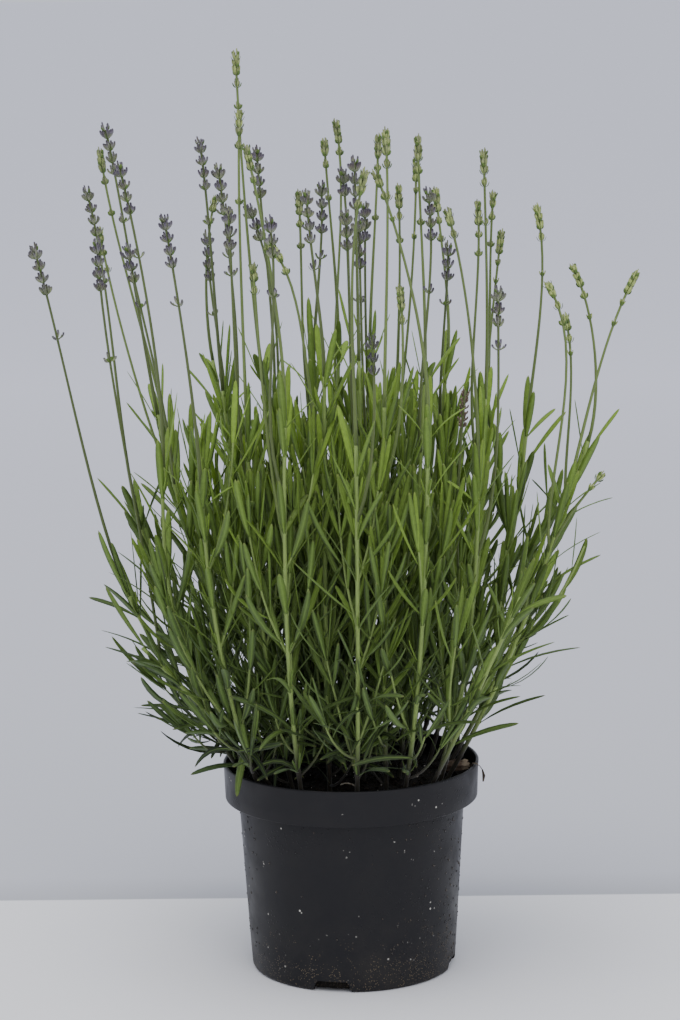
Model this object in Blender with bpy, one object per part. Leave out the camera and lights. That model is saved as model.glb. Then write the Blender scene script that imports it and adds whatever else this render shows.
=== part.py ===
"""Lavender in a black nursery pot: pot, soil, leafy shoots, and violet spikes on some of their stalks.

Metres, +Z up. The origin is the middle of the pot's flat base and the front is -Y.
Every shoot is one body: a square stem that stands in its own hole in the soil, pairs of narrow leaves
up it, and bare stalks above them. A spike whose buds are still green is part of its stalk, and a violet
one is a body of its own that is seated on the end of its stalk.
"""

import math
import random
from collections import namedtuple

import bmesh
import bpy
import numpy as np
from mathutils import Vector

CM = 0.01
# Air left between pieces that touch.
GAP = 0.0003

# Pot: a thin tapered tub with a collar, and notches through the bottom edge that let water out.
POT_HEIGHT = 0.150
RIM_RADIUS = 0.0911
COLLAR_FOOT_RADIUS = 0.0900
COLLAR_FOOT = 0.1240
BODY_TOP_RADIUS = 0.0805
BASE_RADIUS = 0.0729
BASE_BEVEL = 0.0030
WALL = 0.0016
FLOOR = 0.0025
POT_SIDES = 40
NOTCH_COUNT = 4
NOTCH_FOOT_WIDTH = 0.031
NOTCH_TOP_WIDTH = 0.022
NOTCH_HEIGHT = 0.008
NOTCH_DEPTH = 0.012
NOTCH_TURN = math.radians(258.5)

# Soil: fills the pot from its floor to a little below the rim.
SOIL_TOP = 0.1370
SOIL_CROWN = 0.0030
ROOT_DEPTH = 0.020
HOLE_RADIUS = 0.0029
HOLE_SIDES = 5

# Bark chip on the soil, and a dry leaf that hangs over the rim.
CHIP_SIZE = (0.020, 0.009, 0.005)
CHIP_PLACE = (0.0700, -0.0080)
CHIP_TURN = math.radians(12)
DRY_LEAF_TURN = math.radians(-14)
DRY_LEAF_WIDTH = 0.0035
DRY_LEAF_THICKNESS = 0.0007

# Leafy stems and bare stalks. A radius is taken to the corners of the square section.
STEM_RADIUS = 0.0018
STALK_RADIUS = 0.0011
NODE_HEIGHT = 0.0040
NODE_SPACING = 0.030
FIRST_NODE = 0.046
# A side stalk leaves the stem this far under its top, one below the other, and turns this much outwards.
FIRST_BRANCH = 0.052
BRANCH_SPACING = 0.034
BRANCH_SPREAD = 0.45
STALK_BANDS = 4
# How strongly a stalk keeps the direction that it leaves in and that it ends in, in lengths of its reach.
LEAVE_PULL = 0.8
ARRIVE_PULL = 0.9
AIR = 0.001

# Leaves: long narrow blades, wide open low on a shoot and nearly upright at its top.
LEAF_LENGTH_LOW = 0.058
LEAF_LENGTH_HIGH = 0.044
LEAF_WIDTH = 0.0048
LEAF_THICKNESS = 0.0012
LEAF_ANGLE_LOW = math.radians(66)
LEAF_ANGLE_HIGH = math.radians(18)
LEAF_ANGLE_LEAST = math.radians(13)
LEAF_ANGLE_MOST = math.radians(95)
LEAF_MIDDLE = 0.48
LEAF_TRIES = 14
OTHERS = -1
BACK_LIMIT = 0.138
FRONT_LIMIT = -0.172
SIDE_LIMIT = 0.198
# Low leaves stay inside a cone that opens upwards, round an axis a little left of the pot's.
CONE_AXIS = -0.015
CONE_FOOT = 0.140
CONE_FOOT_RADIUS = 0.104
CONE_SLOPE = 0.95
CONE_TOP = 0.240
RIM_CLEARANCE = 0.004
SOIL_CLEARANCE = 0.003
HANG = 0.030

# Spikes: whorls of calyxes, close together at the tip and with one more whorl lower down.
WHORL_PITCH = 0.0085
SPIKE_CORE = 0.0015
VIOLET_REACH = 0.0056
GREEN_REACH = 0.0044
CALYX_LIFT = 0.0062
BUD_HEIGHT = 0.0030
SPIKE_STEP = 0.006

Stalk = namedtuple("Stalk", "colour tip lean whorls gap")
Shoot = namedtuple("Shoot", "root middle top stalks")
Leaf = namedtuple("Leaf", "station face middle tip side width")
V = "violet"
G = "green"

# One row a shoot, in centimetres: where its stem leaves the buried base, its middle and the top of its
# leafy part, then its stalks: colour, tip, sideways lean at the tip, whorls, and the drop to the lower whorl.
SHOOTS = [
    Shoot((-4.9, 0.5), (-11.6, 0.2, 19.8), (-15.6, -0.5, 27.4), [
        Stalk(V, (-21.4, -1.0, 52.0), -0.26, 4, 3.2),
        Stalk(V, (-16.9, -2.0, 52.4), -0.02, 4, 5.0),
    ]),
    Shoot((-4.3, 2.8), (-11.4, 4.2, 22.0), (-15.2, 5.0, 32.0), [
        Stalk(V, (-18.3, 5.5, 55.5), -0.25, 4, 3.4),
    ]),
    Shoot((-5.3, -1.8), (-11.2, -4.0, 22.5), (-12.5, -5.0, 37.0), [
        Stalk(V, (-15.0, -5.0, 57.8), -0.22, 4, 3.0),
    ]),
    Shoot((-4.0, 4.8), (-9.8, 7.5, 23.0), (-13.2, 9.0, 37.0), [
        Stalk(G, (-17.6, 9.5, 58.0), -0.10, 3, 2.2),
        Stalk(G, (-17.7, 8.0, 52.5), -0.15, 2, 1.5),
    ]),
    Shoot((-3.6, 1.8), (-9.6, 2.6, 25.0), (-13.4, 3.0, 39.5), [
        Stalk(V, (-16.6, 3.0, 60.0), -0.20, 4, 3.4),
        Stalk(V, (-15.2, 1.4, 51.7), -0.20, 3, 1.8),
    ]),
    Shoot((-5.4, -4.2), (-8.4, -7.0, 22.5), (-9.7, -8.5, 36.0), [
        Stalk(V, (-11.8, -8.5, 54.5), -0.16, 4, 2.6),
    ]),
    Shoot((-3.6, -3.6), (-5.8, -6.0, 25.0), (-6.6, -7.2, 39.0), [
        Stalk(G, (-6.7, -6.5, 61.3), 0.05, 3, 3.6),
        Stalk(V, (-7.5, -8.2, 54.8), -0.04, 3, 1.8),
    ]),
    Shoot((-3.3, -0.2), (-6.6, 0.4, 26.0), (-8.6, 0.4, 41.5), [
        Stalk(V, (-9.8, -0.2, 59.1), -0.12, 4, 2.4),
        Stalk(V, (-8.7, 1.8, 57.2), -0.12, 4, 3.0),
    ]),
    Shoot((-2.9, 5.4), (-6.2, 8.2, 24.5), (-9.8, 9.8, 42.5), [
        Stalk(G, (-9.3, 10.0, 54.5), 0.30, 2, 0.0),
        Stalk(V, (-9.9, 8.4, 52.0), 0.05, 4, 2.6),
    ]),
    Shoot((-2.2, 2.4), (-4.0, 3.4, 25.5), (-6.0, 4.0, 42.5), [
        Stalk(G, (-7.4, 4.0, 65.0), -0.02, 3, 1.4),
        Stalk(V, (-6.0, 2.6, 58.3), -0.04, 4, 0.0),
        Stalk(V, (-6.9, 6.0, 54.0), -0.50, 3, 0.0),
    ]),
    Shoot((-3.0, -6.0), (-4.0, -9.2, 24.0), (-3.9, -10.8, 41.0), [
        Stalk(G, (-6.2, -10.2, 59.2), -0.22, 3, 4.6),
        Stalk(V, (-4.7, -11.8, 54.5), -0.18, 3, 2.6),
        Stalk(G, (-5.9, -9.0, 51.3), -0.05, 2, 0.0),
    ]),
    Shoot((-1.4, -4.0), (-1.5, -6.8, 25.5), (-1.3, -8.0, 43.5), [
        Stalk(V, (-2.3, -8.0, 56.0), -0.02, 4, 1.8),
        Stalk(G, (-5.0, -7.6, 52.6), -0.90, 3, 0.0),
    ]),
    Shoot((-0.9, -0.2), (-1.8, 0.4, 26.5), (-2.2, 0.4, 43.0), [
        Stalk(V, (-1.5, 0.0, 56.0), -0.08, 4, 1.8),
        Stalk(G, (-3.1, 1.2, 55.4), -0.06, 3, 1.4),
    ]),
    Shoot((-0.7, 4.4), (-0.8, 7.6, 25.0), (-0.6, 9.2, 44.0), [
        Stalk(G, (-1.4, 9.0, 58.5), -0.04, 2, 2.6),
        Stalk(G, (-0.6, 10.6, 59.8), -0.18, 3, 0.0),
    ]),
    Shoot((0.4, -6.6), (0.7, -10.6, 24.0), (0.8, -12.6, 39.5), [
        Stalk(G, (1.7, -12.4, 57.6), 0.30, 3, 0.0),
        Stalk(V, (1.9, -14.0, 47.0), -0.10, 3, 0.0),
    ]),
    Shoot((0.9, -2.2), (1.0, -3.4, 26.5), (1.0, -3.8, 44.0), [
        Stalk(V, (0.9, -3.8, 57.9), 0.00, 4, 0.0),
        Stalk(V, (0.2, -5.4, 54.4), -0.08, 3, 0.0),
        Stalk(V, (0.0, -2.2, 57.0), -0.12, 2, 0.0),
    ]),
    Shoot((1.3, 2.4), (1.6, 4.2, 26.0), (1.7, 5.0, 43.0), [
        Stalk(G, (2.5, 5.0, 59.0), 0.02, 3, 3.4),
        Stalk(V, (1.5, 6.6, 54.0), 0.02, 3, 0.0),
        Stalk(V, (1.0, 3.4, 53.2), -0.04, 4, 2.4),
    ]),
    Shoot((2.5, -4.2), (2.5, -7.4, 24.5), (2.7, -9.0, 41.5), [
        Stalk(G, (3.0, -8.8, 60.0), -0.05, 3, 2.0),
        Stalk(G, (3.8, -10.2, 49.8), -0.10, 3, 0.0),
    ]),
    Shoot((1.6, 6.6), (2.6, 9.8, 24.0), (3.6, 11.6, 40.0), [
        Stalk(G, (3.9, 11.6, 55.0), -0.04, 3, 1.6),
        Stalk(G, (5.2, 10.4, 57.0), 0.00, 3, 3.2),
    ]),
    Shoot((3.2, -5.4), (4.8, -9.4, 23.0), (5.6, -11.2, 41.0), [
        Stalk(G, (2.2, -9.8, 57.4), -0.42, 2, 1.8),
    ]),
    Shoot((3.2, -1.2), (4.4, -1.8, 25.5), (5.5, -2.2, 42.5), [
        Stalk(G, (5.2, -2.2, 59.2), 0.00, 3, 3.4),
        Stalk(V, (5.8, -3.6, 55.7), -0.16, 4, 3.6),
    ]),
    Shoot((3.4, 3.8), (5.2, 6.2, 25.0), (7.3, 7.4, 43.0), [
        Stalk(G, (6.5, 7.4, 55.0), -0.10, 3, 1.2),
        Stalk(V, (7.4, 5.8, 51.2), 0.02, 3, 1.8),
    ]),
    Shoot((5.4, -3.4), (8.0, -6.0, 22.5), (9.0, -7.2, 36.0), [
        Stalk(G, (7.0, -7.0, 54.6), -0.30, 2, 0.0),
        Stalk(V, (10.4, -8.0, 49.4), 0.02, 3, 1.6),
    ]),
    Shoot((4.8, 2.0), (8.0, 2.4, 24.5), (9.8, 1.8, 40.5), [
        Stalk(G, (9.8, 1.8, 58.0), -0.02, 3, 2.6),
        Stalk(G, (9.3, 0.2, 54.6), -0.08, 3, 1.2),
    ]),
    Shoot((3.8, 5.6), (7.8, 8.8, 23.5), (10.2, 10.4, 39.0), [
        Stalk(G, (10.8, 10.4, 54.5), 0.10, 2, 2.2),
        Stalk(G, (11.3, 9.0, 51.8), 0.12, 3, 1.2),
    ]),
    Shoot((5.0, 4.0), (10.2, 5.6, 23.0), (12.9, 5.6, 38.0), [
        Stalk(G, (13.6, 5.6, 53.8), -0.26, 3, 2.4),
    ]),
    Shoot((5.6, -1.2), (11.4, -3.4, 23.5), (15.4, -4.2, 35.5), [
        Stalk(G, (20.0, -4.6, 50.0), 0.60, 3, 1.4),
        Stalk(G, (13.7, -5.2, 49.4), -0.72, 2, 1.4),
    ]),
    Shoot((5.2, 0.2), (11.6, 1.0, 23.0), (17.0, 1.0, 37.5), [
        Stalk(G, (15.8, 1.0, 50.0), -0.55, 3, 1.4),
        Stalk(G, (15.4, 2.6, 46.4), -0.30, 2, 1.2),
    ]),
    Shoot((-1.1, 5.8), (-3.2, 9.4, 21.5), (-4.6, 11.8, 32.0), []),
    Shoot((4.4, -4.6), (8.2, -8.6, 20.5), (11.6, -12.0, 29.0), []),
    Shoot((-4.2, -2.4), (-9.0, -4.2, 18.4), (-14.2, -5.8, 24.5), []),
]

LEAF_GREEN = (0.085, 0.165, 0.035)
VIOLET = (0.125, 0.105, 0.205)
POT_BLACK = (0.022, 0.023, 0.027)
SOIL_BROWN = (0.045, 0.030, 0.022)
BARK_BROWN = (0.200, 0.105, 0.055)
DRY_BROWN = (0.300, 0.210, 0.110)


# ---------------------------------------------------------------- curves


def cm(place):
    return Vector(place) * CM


def bezier(start, control, end, t):
    return start * (1 - t) ** 2 + control * (2 * t * (1 - t)) + end * t**2


def hermite(start, leave, end, arrive, t):
    a = 2 * t**3 - 3 * t**2 + 1
    b = t**3 - 2 * t**2 + t
    c = 3 * t**2 - 2 * t**3
    d = t**3 - t**2
    return start * a + leave * b + end * c + arrive * d


def leafy_line(shoot, steps=24):
    """The stem's middle line, from its buried foot to the top of its leafy part."""
    foot = Vector((shoot.root[0] * CM, shoot.root[1] * CM, SOIL_TOP - ROOT_DEPTH))
    middle = cm(shoot.middle)
    top = cm(shoot.top)
    control = middle * 2 - (foot + top) / 2
    return [bezier(foot, control, top, i / steps) for i in range(steps + 1)]


def stalk_line(start, heading, stalk, steps=24):
    """The middle line of a bare stalk that leaves its shoot in the heading and ends at its spike's tip."""
    tip = cm(stalk.tip)
    reach = (tip - start).length
    arrive = Vector((stalk.lean, 0, 1)).normalized() * reach * ARRIVE_PULL
    leave = heading.normalized() * reach * LEAVE_PULL
    return [hermite(start, leave, tip, arrive, i / steps) for i in range(steps + 1)]


def lengths_along(line):
    total = [0.0]
    for a, b in zip(line, line[1:]):
        total.append(total[-1] + (b - a).length)
    return total


def place_along(line, lengths, distance):
    """(place, heading) at a distance along a line of points."""
    for i in range(1, len(line)):
        if distance <= lengths[i] or i == len(line) - 1:
            share = (distance - lengths[i - 1]) / (lengths[i] - lengths[i - 1])
            return line[i - 1].lerp(line[i], share), (line[i] - line[i - 1]).normalized()


def square(centre, across, over, radius):
    return [centre + way * radius for way in (across, over, -across, -over)]


def carried(across, heading):
    """The across direction of the last section, turned as little as the new heading asks."""
    across = (across - heading * across.dot(heading)).normalized()
    return across, heading.cross(across)


# ---------------------------------------------------------------- where everything grows


class Room:
    """Where stems, spikes and leaves already are, as segments with a radius, to keep the next one clear."""

    def __init__(self):
        self.starts = np.zeros((0, 3))
        self.ends = np.zeros((0, 3))
        self.radii = np.zeros(0)
        self.owners = np.zeros(0, int)

    def add(self, line, radius, owner):
        points = np.array(line)
        self.starts = np.vstack([self.starts, points[:-1]])
        self.ends = np.vstack([self.ends, points[1:]])
        self.radii = np.append(self.radii, np.full(len(points) - 1, radius))
        self.owners = np.append(self.owners, np.full(len(points) - 1, owner))

    def is_clear(self, points, radius, owner):
        """True if each point is further from all segments but its owner's than their radii and its own."""
        others = self.owners != owner
        starts = self.starts[others]
        run = self.ends[others] - starts
        from_start = points[:, None, :] - starts[None]
        share = np.clip((from_start * run).sum(2) / (run * run).sum(1), 0, 1)
        away = np.linalg.norm(from_start - share[..., None] * run, axis=2)
        return bool((away > self.radii[others] + radius).all())


def sampled(line, first, step):
    """Points at even steps along a line, from a first distance on."""
    lengths = lengths_along(line)
    count = max(2, int((lengths[-1] - first) / step) + 1)
    spread = [first + (lengths[-1] - first) * i / (count - 1) for i in range(count)]
    return np.array([place_along(line, lengths, distance)[0] for distance in spread])


def in_bounds(points):
    """Clear of the pot's rim, of the soil and of the space that the plant doesn't reach."""
    x, y, z = points.T
    reach = np.hypot(x, y)
    at_rim = (reach > RIM_RADIUS - RIM_CLEARANCE - WALL * 2) & (reach < RIM_RADIUS + RIM_CLEARANCE)
    by_rim = at_rim & (z < POT_HEIGHT + RIM_CLEARANCE)
    in_soil = (reach < RIM_RADIUS) & (z < SOIL_TOP + SOIL_CROWN + SOIL_CLEARANCE)
    under = z < SOIL_TOP - HANG
    cone = CONE_FOOT_RADIUS + CONE_SLOPE * (z - CONE_FOOT)
    past_cone = (z < CONE_TOP) & (np.hypot(x - CONE_AXIS, y) > cone)
    outside = (y > BACK_LIMIT) | (y < FRONT_LIMIT) | (abs(x) > SIDE_LIMIT)
    return not (by_rim | in_soil | under | past_cone | outside).any()


def spike_length(stalk):
    return stalk.whorls * WHORL_PITCH + BUD_HEIGHT + stalk.gap * CM


def plan_lines():
    """Each shoot's leafy line and its stalks' lines: the first leaves the stem's end, the others its side."""
    room = Room()
    plans = []
    for index, shoot in enumerate(SHOOTS):
        stem = leafy_line(shoot)
        room.add(stem, STEM_RADIUS + AIR, index)
        plans.append((stem, []))
    for index, shoot in enumerate(SHOOTS):
        stem, stalks = plans[index]
        lengths = lengths_along(stem)
        for order, stalk in enumerate(shoot.stalks):
            drop = FIRST_BRANCH + BRANCH_SPACING * (order - 1) if order else 0
            distance = lengths[-1] - drop
            start, heading = place_along(stem, lengths, distance)
            if order:
                aside = cm(stalk.tip) - start
                aside = (aside - heading * aside.dot(heading)).normalized()
                heading = (heading + aside * BRANCH_SPREAD).normalized()
            line = stalk_line(start, heading, stalk)
            owner = index if order == 0 else OTHERS
            room.add(line, STALK_RADIUS + AIR, owner)
            stalks.append((line, distance))
            total = lengths_along(line)[-1]
            room.add(sampled(line, total - spike_length(stalk), SPIKE_STEP), VIOLET_REACH, OTHERS)
    return plans, room


def leaf_course(root, heading, outward, angle, length, chance):
    """Middle and tip of a leaf that leaves at an angle to the stem and sags, less so when it is steep."""
    first = heading * math.cos(angle) + outward * math.sin(angle)
    sag = 0.10 + 0.45 * math.sin(angle) ** 2 * chance.uniform(0.5, 1.3)
    second = (first + Vector((0, 0, -1)) * sag).normalized()
    middle = root + first * (length * LEAF_MIDDLE)
    return middle, middle + second * (length * (1 - LEAF_MIDDLE))


def plan_leaves(index, stem, room):
    """The stations of a leafy stem and its leaves, each bent clear of all that is there already."""
    chance = random.Random(100 + index)
    lengths = lengths_along(stem)
    across = Vector((math.cos(chance.uniform(0, 6.3)), math.sin(chance.uniform(0, 6.3)), 0))
    distance = FIRST_NODE
    stations = []
    leaves = []
    while distance < lengths[-1] - 0.004:
        place, heading = place_along(stem, lengths, distance)
        across, over = carried(across, heading)
        corner = [across, over, -across, -over]
        station = len(stations)
        height = distance / lengths[-1]
        last = distance > lengths[-1] - 0.020
        for face in range(4) if last else (station % 2, station % 2 + 2):
            outward = (corner[face] + corner[(face + 1) % 4]).normalized()
            leaf = clear_leaf(index, place, heading, outward, height, room, chance)
            if leaf:
                leaves.append(Leaf(station, face, *leaf))
        stations.append(distance)
        distance += NODE_SPACING * chance.uniform(0.85, 1.15) * (1.0 if height < 0.75 else 0.7)
    return stations, leaves


def clear_leaf(index, place, heading, outward, height, room, chance):
    """A leaf's middle, tip, side and width, or nothing where no try is clear."""
    for attempt in range(LEAF_TRIES):
        loose = 0.10 + 0.04 * attempt
        turn = chance.uniform(-loose, loose)
        angle = LEAF_ANGLE_LOW + (LEAF_ANGLE_HIGH - LEAF_ANGLE_LOW) * height**0.7
        angle = min(max(LEAF_ANGLE_LEAST, angle + chance.uniform(-loose, loose)), LEAF_ANGLE_MOST)
        side = heading.cross(outward)
        aimed = outward * math.cos(turn) + side * math.sin(turn)
        length = LEAF_LENGTH_LOW + (LEAF_LENGTH_HIGH - LEAF_LENGTH_LOW) * height
        length *= chance.uniform(0.86, 1.12) * (1 - 0.03 * attempt)
        root = place + outward * STEM_RADIUS * 0.7
        middle, tip = leaf_course(root, heading, aimed, angle, length, chance)
        points = sampled([root, middle, tip], 0.005, 0.005)
        if in_bounds(points) and room.is_clear(points, LEAF_WIDTH / 2 + 0.0003, index):
            room.add([root.lerp(middle, 0.3), middle, tip], LEAF_WIDTH / 2, OTHERS)
            blade_side = (tip - root).cross(heading.cross(aimed).cross(tip - root)).normalized()
            return middle, tip, blade_side, LEAF_WIDTH * chance.uniform(0.88, 1.1)
    return None


# ---------------------------------------------------------------- growing a body face by face


def first_face(mesh, corners):
    made = bmesh.ops.create_circle(mesh, cap_ends=True, segments=len(corners), radius=0.001)
    for vertex, corner in zip(made["verts"], corners):
        vertex.co = corner
    return made["verts"][0].link_faces[0]


def grow(mesh, face, corners):
    """Extrudes a face and puts its end's corners in place. Returns the end and the faces round it."""
    end = bmesh.ops.extrude_discrete_faces(mesh, faces=[face])["faces"][0]
    for vertex, corner in zip(end.verts, corners):
        vertex.co = corner
    around = [next(other for other in edge.link_faces if other is not end) for edge in end.edges]
    return end, around


def point_face(mesh, face, place):
    """Raises a face to a point."""
    vertex = bmesh.ops.poke(mesh, faces=[face])["verts"][0]
    vertex.co = place


def grow_leaf(mesh, face, leaf, heading):
    """Draws a side face of the stem out to a blade with a keel under it, then to a point."""
    end, _ = grow(mesh, face, [vertex.co.copy() for vertex in face.verts])
    over = (leaf.tip - leaf.middle).cross(leaf.side).normalized()
    if over.dot(heading) < 0:
        over = -over
    centre = sum((vertex.co for vertex in end.verts), Vector()) / 4
    keel = []
    for vertex in end.verts:
        from_centre = vertex.co - centre
        if from_centre.dot(heading) > 0:
            sign = 1 if from_centre.dot(leaf.side) > 0 else -1
            vertex.co = leaf.middle + leaf.side * (sign * leaf.width / 2)
        else:
            keel.append(vertex)
    bmesh.ops.pointmerge(mesh, verts=keel, merge_co=leaf.middle - over * LEAF_THICKNESS)
    point_face(mesh, end, leaf.tip)


def grow_whorl(mesh, face, line, lengths, distance, across, reach, turn):
    """One band of the spike, with each of its four sides raised to a calyx that points up and out."""
    place, heading = place_along(line, lengths, distance + WHORL_PITCH)
    across, over = carried(across, heading)
    turned = across * math.cos(turn) + over * math.sin(turn)
    corners = square(place, turned, heading.cross(turned), SPIKE_CORE)
    end, around = grow(mesh, face, corners)
    foot, _ = place_along(line, lengths, distance)
    for side in around:
        outward = side.calc_center_median() - (foot + place) / 2
        outward = (outward - heading * outward.dot(heading)).normalized()
        point_face(mesh, side, foot + outward * reach + heading * (CALYX_LIFT + WHORL_PITCH * 0.3))
    return end, turned


def grow_spike(mesh, face, line, across, stalk, radius):
    """The lower whorl, the bare stretch above it, the whorls of the head and the bud at the tip."""
    lengths = lengths_along(line)
    reach = VIOLET_REACH if stalk.colour == V else GREEN_REACH
    distance = lengths[-1] - spike_length(stalk)
    turn = math.radians(45)
    if stalk.gap:
        face, across = grow_whorl(mesh, face, line, lengths, distance, across, reach * 0.85, 0)
        distance = lengths[-1] - stalk.whorls * WHORL_PITCH - BUD_HEIGHT
        if stalk.gap * CM > WHORL_PITCH * 1.2:
            place, heading = place_along(line, lengths, distance)
            across, over = carried(across, heading)
            face, _ = grow(mesh, face, square(place, across, over, radius))
    for order in range(stalk.whorls):
        narrow = 1 - 0.35 * (order / max(1, stalk.whorls - 1)) ** 2
        quarter = turn if order else 0
        face, across = grow_whorl(mesh, face, line, lengths, distance, across, reach * narrow, quarter)
        distance += WHORL_PITCH
    point_face(mesh, face, line[-1])


def stalk_sections(line, stalk, first):
    """Distances of a stalk's sections, from the first to the foot of its spike."""
    foot = lengths_along(line)[-1] - spike_length(stalk)
    return [first + (foot - first) * i / STALK_BANDS for i in range(1, STALK_BANDS + 1)]


def grow_stalk(mesh, face, line, stalk, across, first, radius):
    """A bare stalk. Returns its end face and across direction where a spike goes on from it."""
    lengths = lengths_along(line)
    sections = stalk_sections(line, stalk, first)
    for order, distance in enumerate(sections):
        place, heading = place_along(line, lengths, distance)
        across, over = carried(across, heading)
        share = (order + 1) / len(sections)
        thick = radius + (STALK_RADIUS - radius) * share
        face, _ = grow(mesh, face, square(place, across, over, thick))
    if stalk.colour == G:
        grow_spike(mesh, face, line, across, stalk, STALK_RADIUS)
    return across


def shoot_mesh(index, plan, stations, leaves):
    """One shoot, and the (line, stalk, across) of each of its violet spikes."""
    stem, stalks = plan
    shoot = SHOOTS[index]
    chance = random.Random(100 + index)
    across = Vector((math.cos(chance.uniform(0, 6.3)), math.sin(chance.uniform(0, 6.3)), 0))
    lengths = lengths_along(stem)
    mesh = bmesh.new()
    place, heading = place_along(stem, lengths, 0)
    across, over = carried(across, heading)
    face = first_face(mesh, square(place, across, over, STEM_RADIUS))
    spikes = []
    branches = {start: (line, stalk) for (line, start), stalk in zip(stalks[1:], shoot.stalks[1:])}
    bands = [(distance, "leaves") for distance in stations] + [(distance, "branch") for distance in branches]
    last = 0.0
    station = 0
    for distance, kind in sorted(bands):
        thick = STEM_RADIUS * (1 - 0.25 * distance / lengths[-1])
        low = max(distance - NODE_HEIGHT / 2, last + 0.001)
        place, heading = place_along(stem, lengths, low)
        across, over = carried(across, heading)
        face, _ = grow(mesh, face, square(place, across, over, thick))
        place, heading = place_along(stem, lengths, low + NODE_HEIGHT)
        across, over = carried(across, heading)
        face, around = grow(mesh, face, square(place, across, over, thick))
        last = low + NODE_HEIGHT
        if kind == "leaves":
            for leaf in leaves:
                if leaf.station == station:
                    grow_leaf(mesh, around[leaf.face], leaf, heading)
            station += 1
            continue
        line, stalk = branches[distance]
        aside = line[6] - line[0]
        side = max(around, key=lambda option: (option.calc_center_median() - place).dot(aside))
        start = side.verts[0].co - side.calc_center_median()
        spikes.append((line, stalk, grow_stalk(mesh, side, line, stalk, start, 0.004, STALK_RADIUS)))
    if shoot.stalks:
        line = stalks[0][0]
        end = grow_stalk(mesh, face, line, shoot.stalks[0], across, 0.002, STEM_RADIUS * 0.75)
        spikes.append((line, shoot.stalks[0], end))
    else:
        place, heading = place_along(stem, lengths, lengths[-1])
        point_face(mesh, face, place + heading * 0.004)
    close_foot(mesh)
    return mesh, [spike for spike in spikes if spike[1].colour == V]


def close_foot(mesh):
    open_edges = [edge for edge in mesh.edges if edge.is_boundary]
    bmesh.ops.holes_fill(mesh, edges=open_edges, sides=4)
    bmesh.ops.recalc_face_normals(mesh, faces=mesh.faces)
    bmesh.ops.triangulate(mesh, faces=mesh.faces)


def spike_mesh(line, stalk, across):
    """A violet spike, which starts just above the end of its stalk."""
    lengths = lengths_along(line)
    foot, heading = place_along(line, lengths, lengths[-1] - spike_length(stalk) + GAP)
    across, over = carried(across, heading)
    mesh = bmesh.new()
    face = first_face(mesh, square(foot, across, over, STALK_RADIUS))
    grow_spike(mesh, face, line, across, stalk, STALK_RADIUS)
    close_foot(mesh)
    return mesh


# ---------------------------------------------------------------- materials and objects


def material(name, colour, roughness):
    made = bpy.data.materials.new(name)
    made.use_nodes = True
    shader = made.node_tree.nodes["Principled BSDF"]
    shader.inputs["Base Color"].default_value = (*colour, 1)
    shader.inputs["Roughness"].default_value = roughness
    shader.inputs["Metallic"].default_value = 0.0
    made.diffuse_color = (*colour, 1)
    return made


def object_of(name, mesh, surface):
    data = bpy.data.meshes.new(name)
    mesh.to_mesh(data)
    mesh.free()
    made = bpy.data.objects.new(name, data)
    made.data.materials.append(surface)
    bpy.context.scene.collection.objects.link(made)
    return made


def turned(name, profile, surface):
    """A body turned about the Z axis from a profile that starts and ends on it."""
    mesh = bmesh.new()
    points = [mesh.verts.new((radius, 0, height)) for radius, height in profile]
    edges = [mesh.edges.new(pair) for pair in zip(points, points[1:])]
    around = {"axis": (0, 0, 1), "cent": (0, 0, 0), "angle": math.tau, "steps": POT_SIDES}
    bmesh.ops.spin(mesh, geom=points + edges, use_merge=True, **around)
    bmesh.ops.remove_doubles(mesh, verts=mesh.verts, dist=1e-6)
    bmesh.ops.recalc_face_normals(mesh, faces=mesh.faces)
    return object_of(name, mesh, surface)


def cut(target, cutter):
    """Cuts a hidden object out of the target."""
    cutter.hide_render = True
    cutter.display_type = "WIRE"
    change = target.modifiers.new("cut", "BOOLEAN")
    change.operation = "DIFFERENCE"
    change.solver = "EXACT"
    change.object = cutter


def smooth(made, degrees):
    made.data.shade_smooth()
    made.data.set_sharp_from_angle(angle=math.radians(degrees))


# ---------------------------------------------------------------- the pieces


def build_pot():
    surface = material("pot_plastic", POT_BLACK, 0.38)
    profile = [
        (0, 0),
        (BASE_RADIUS - BASE_BEVEL, 0),
        (BASE_RADIUS - BASE_BEVEL * 0.3, BASE_BEVEL * 0.3),
        (BASE_RADIUS, BASE_BEVEL),
        (BODY_TOP_RADIUS, COLLAR_FOOT),
        (COLLAR_FOOT_RADIUS, COLLAR_FOOT),
        (RIM_RADIUS, POT_HEIGHT - 0.0008),
        (RIM_RADIUS - 0.0008, POT_HEIGHT),
        (RIM_RADIUS - WALL * 1.4, POT_HEIGHT),
        (COLLAR_FOOT_RADIUS - WALL, COLLAR_FOOT + WALL),
        (BODY_TOP_RADIUS - WALL, COLLAR_FOOT + WALL),
        (BASE_RADIUS - WALL, FLOOR),
        (0, FLOOR),
    ]
    pot = turned("pot", profile, surface)
    cut(pot, notch_cutter(surface))
    smooth(pot, 40)


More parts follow.
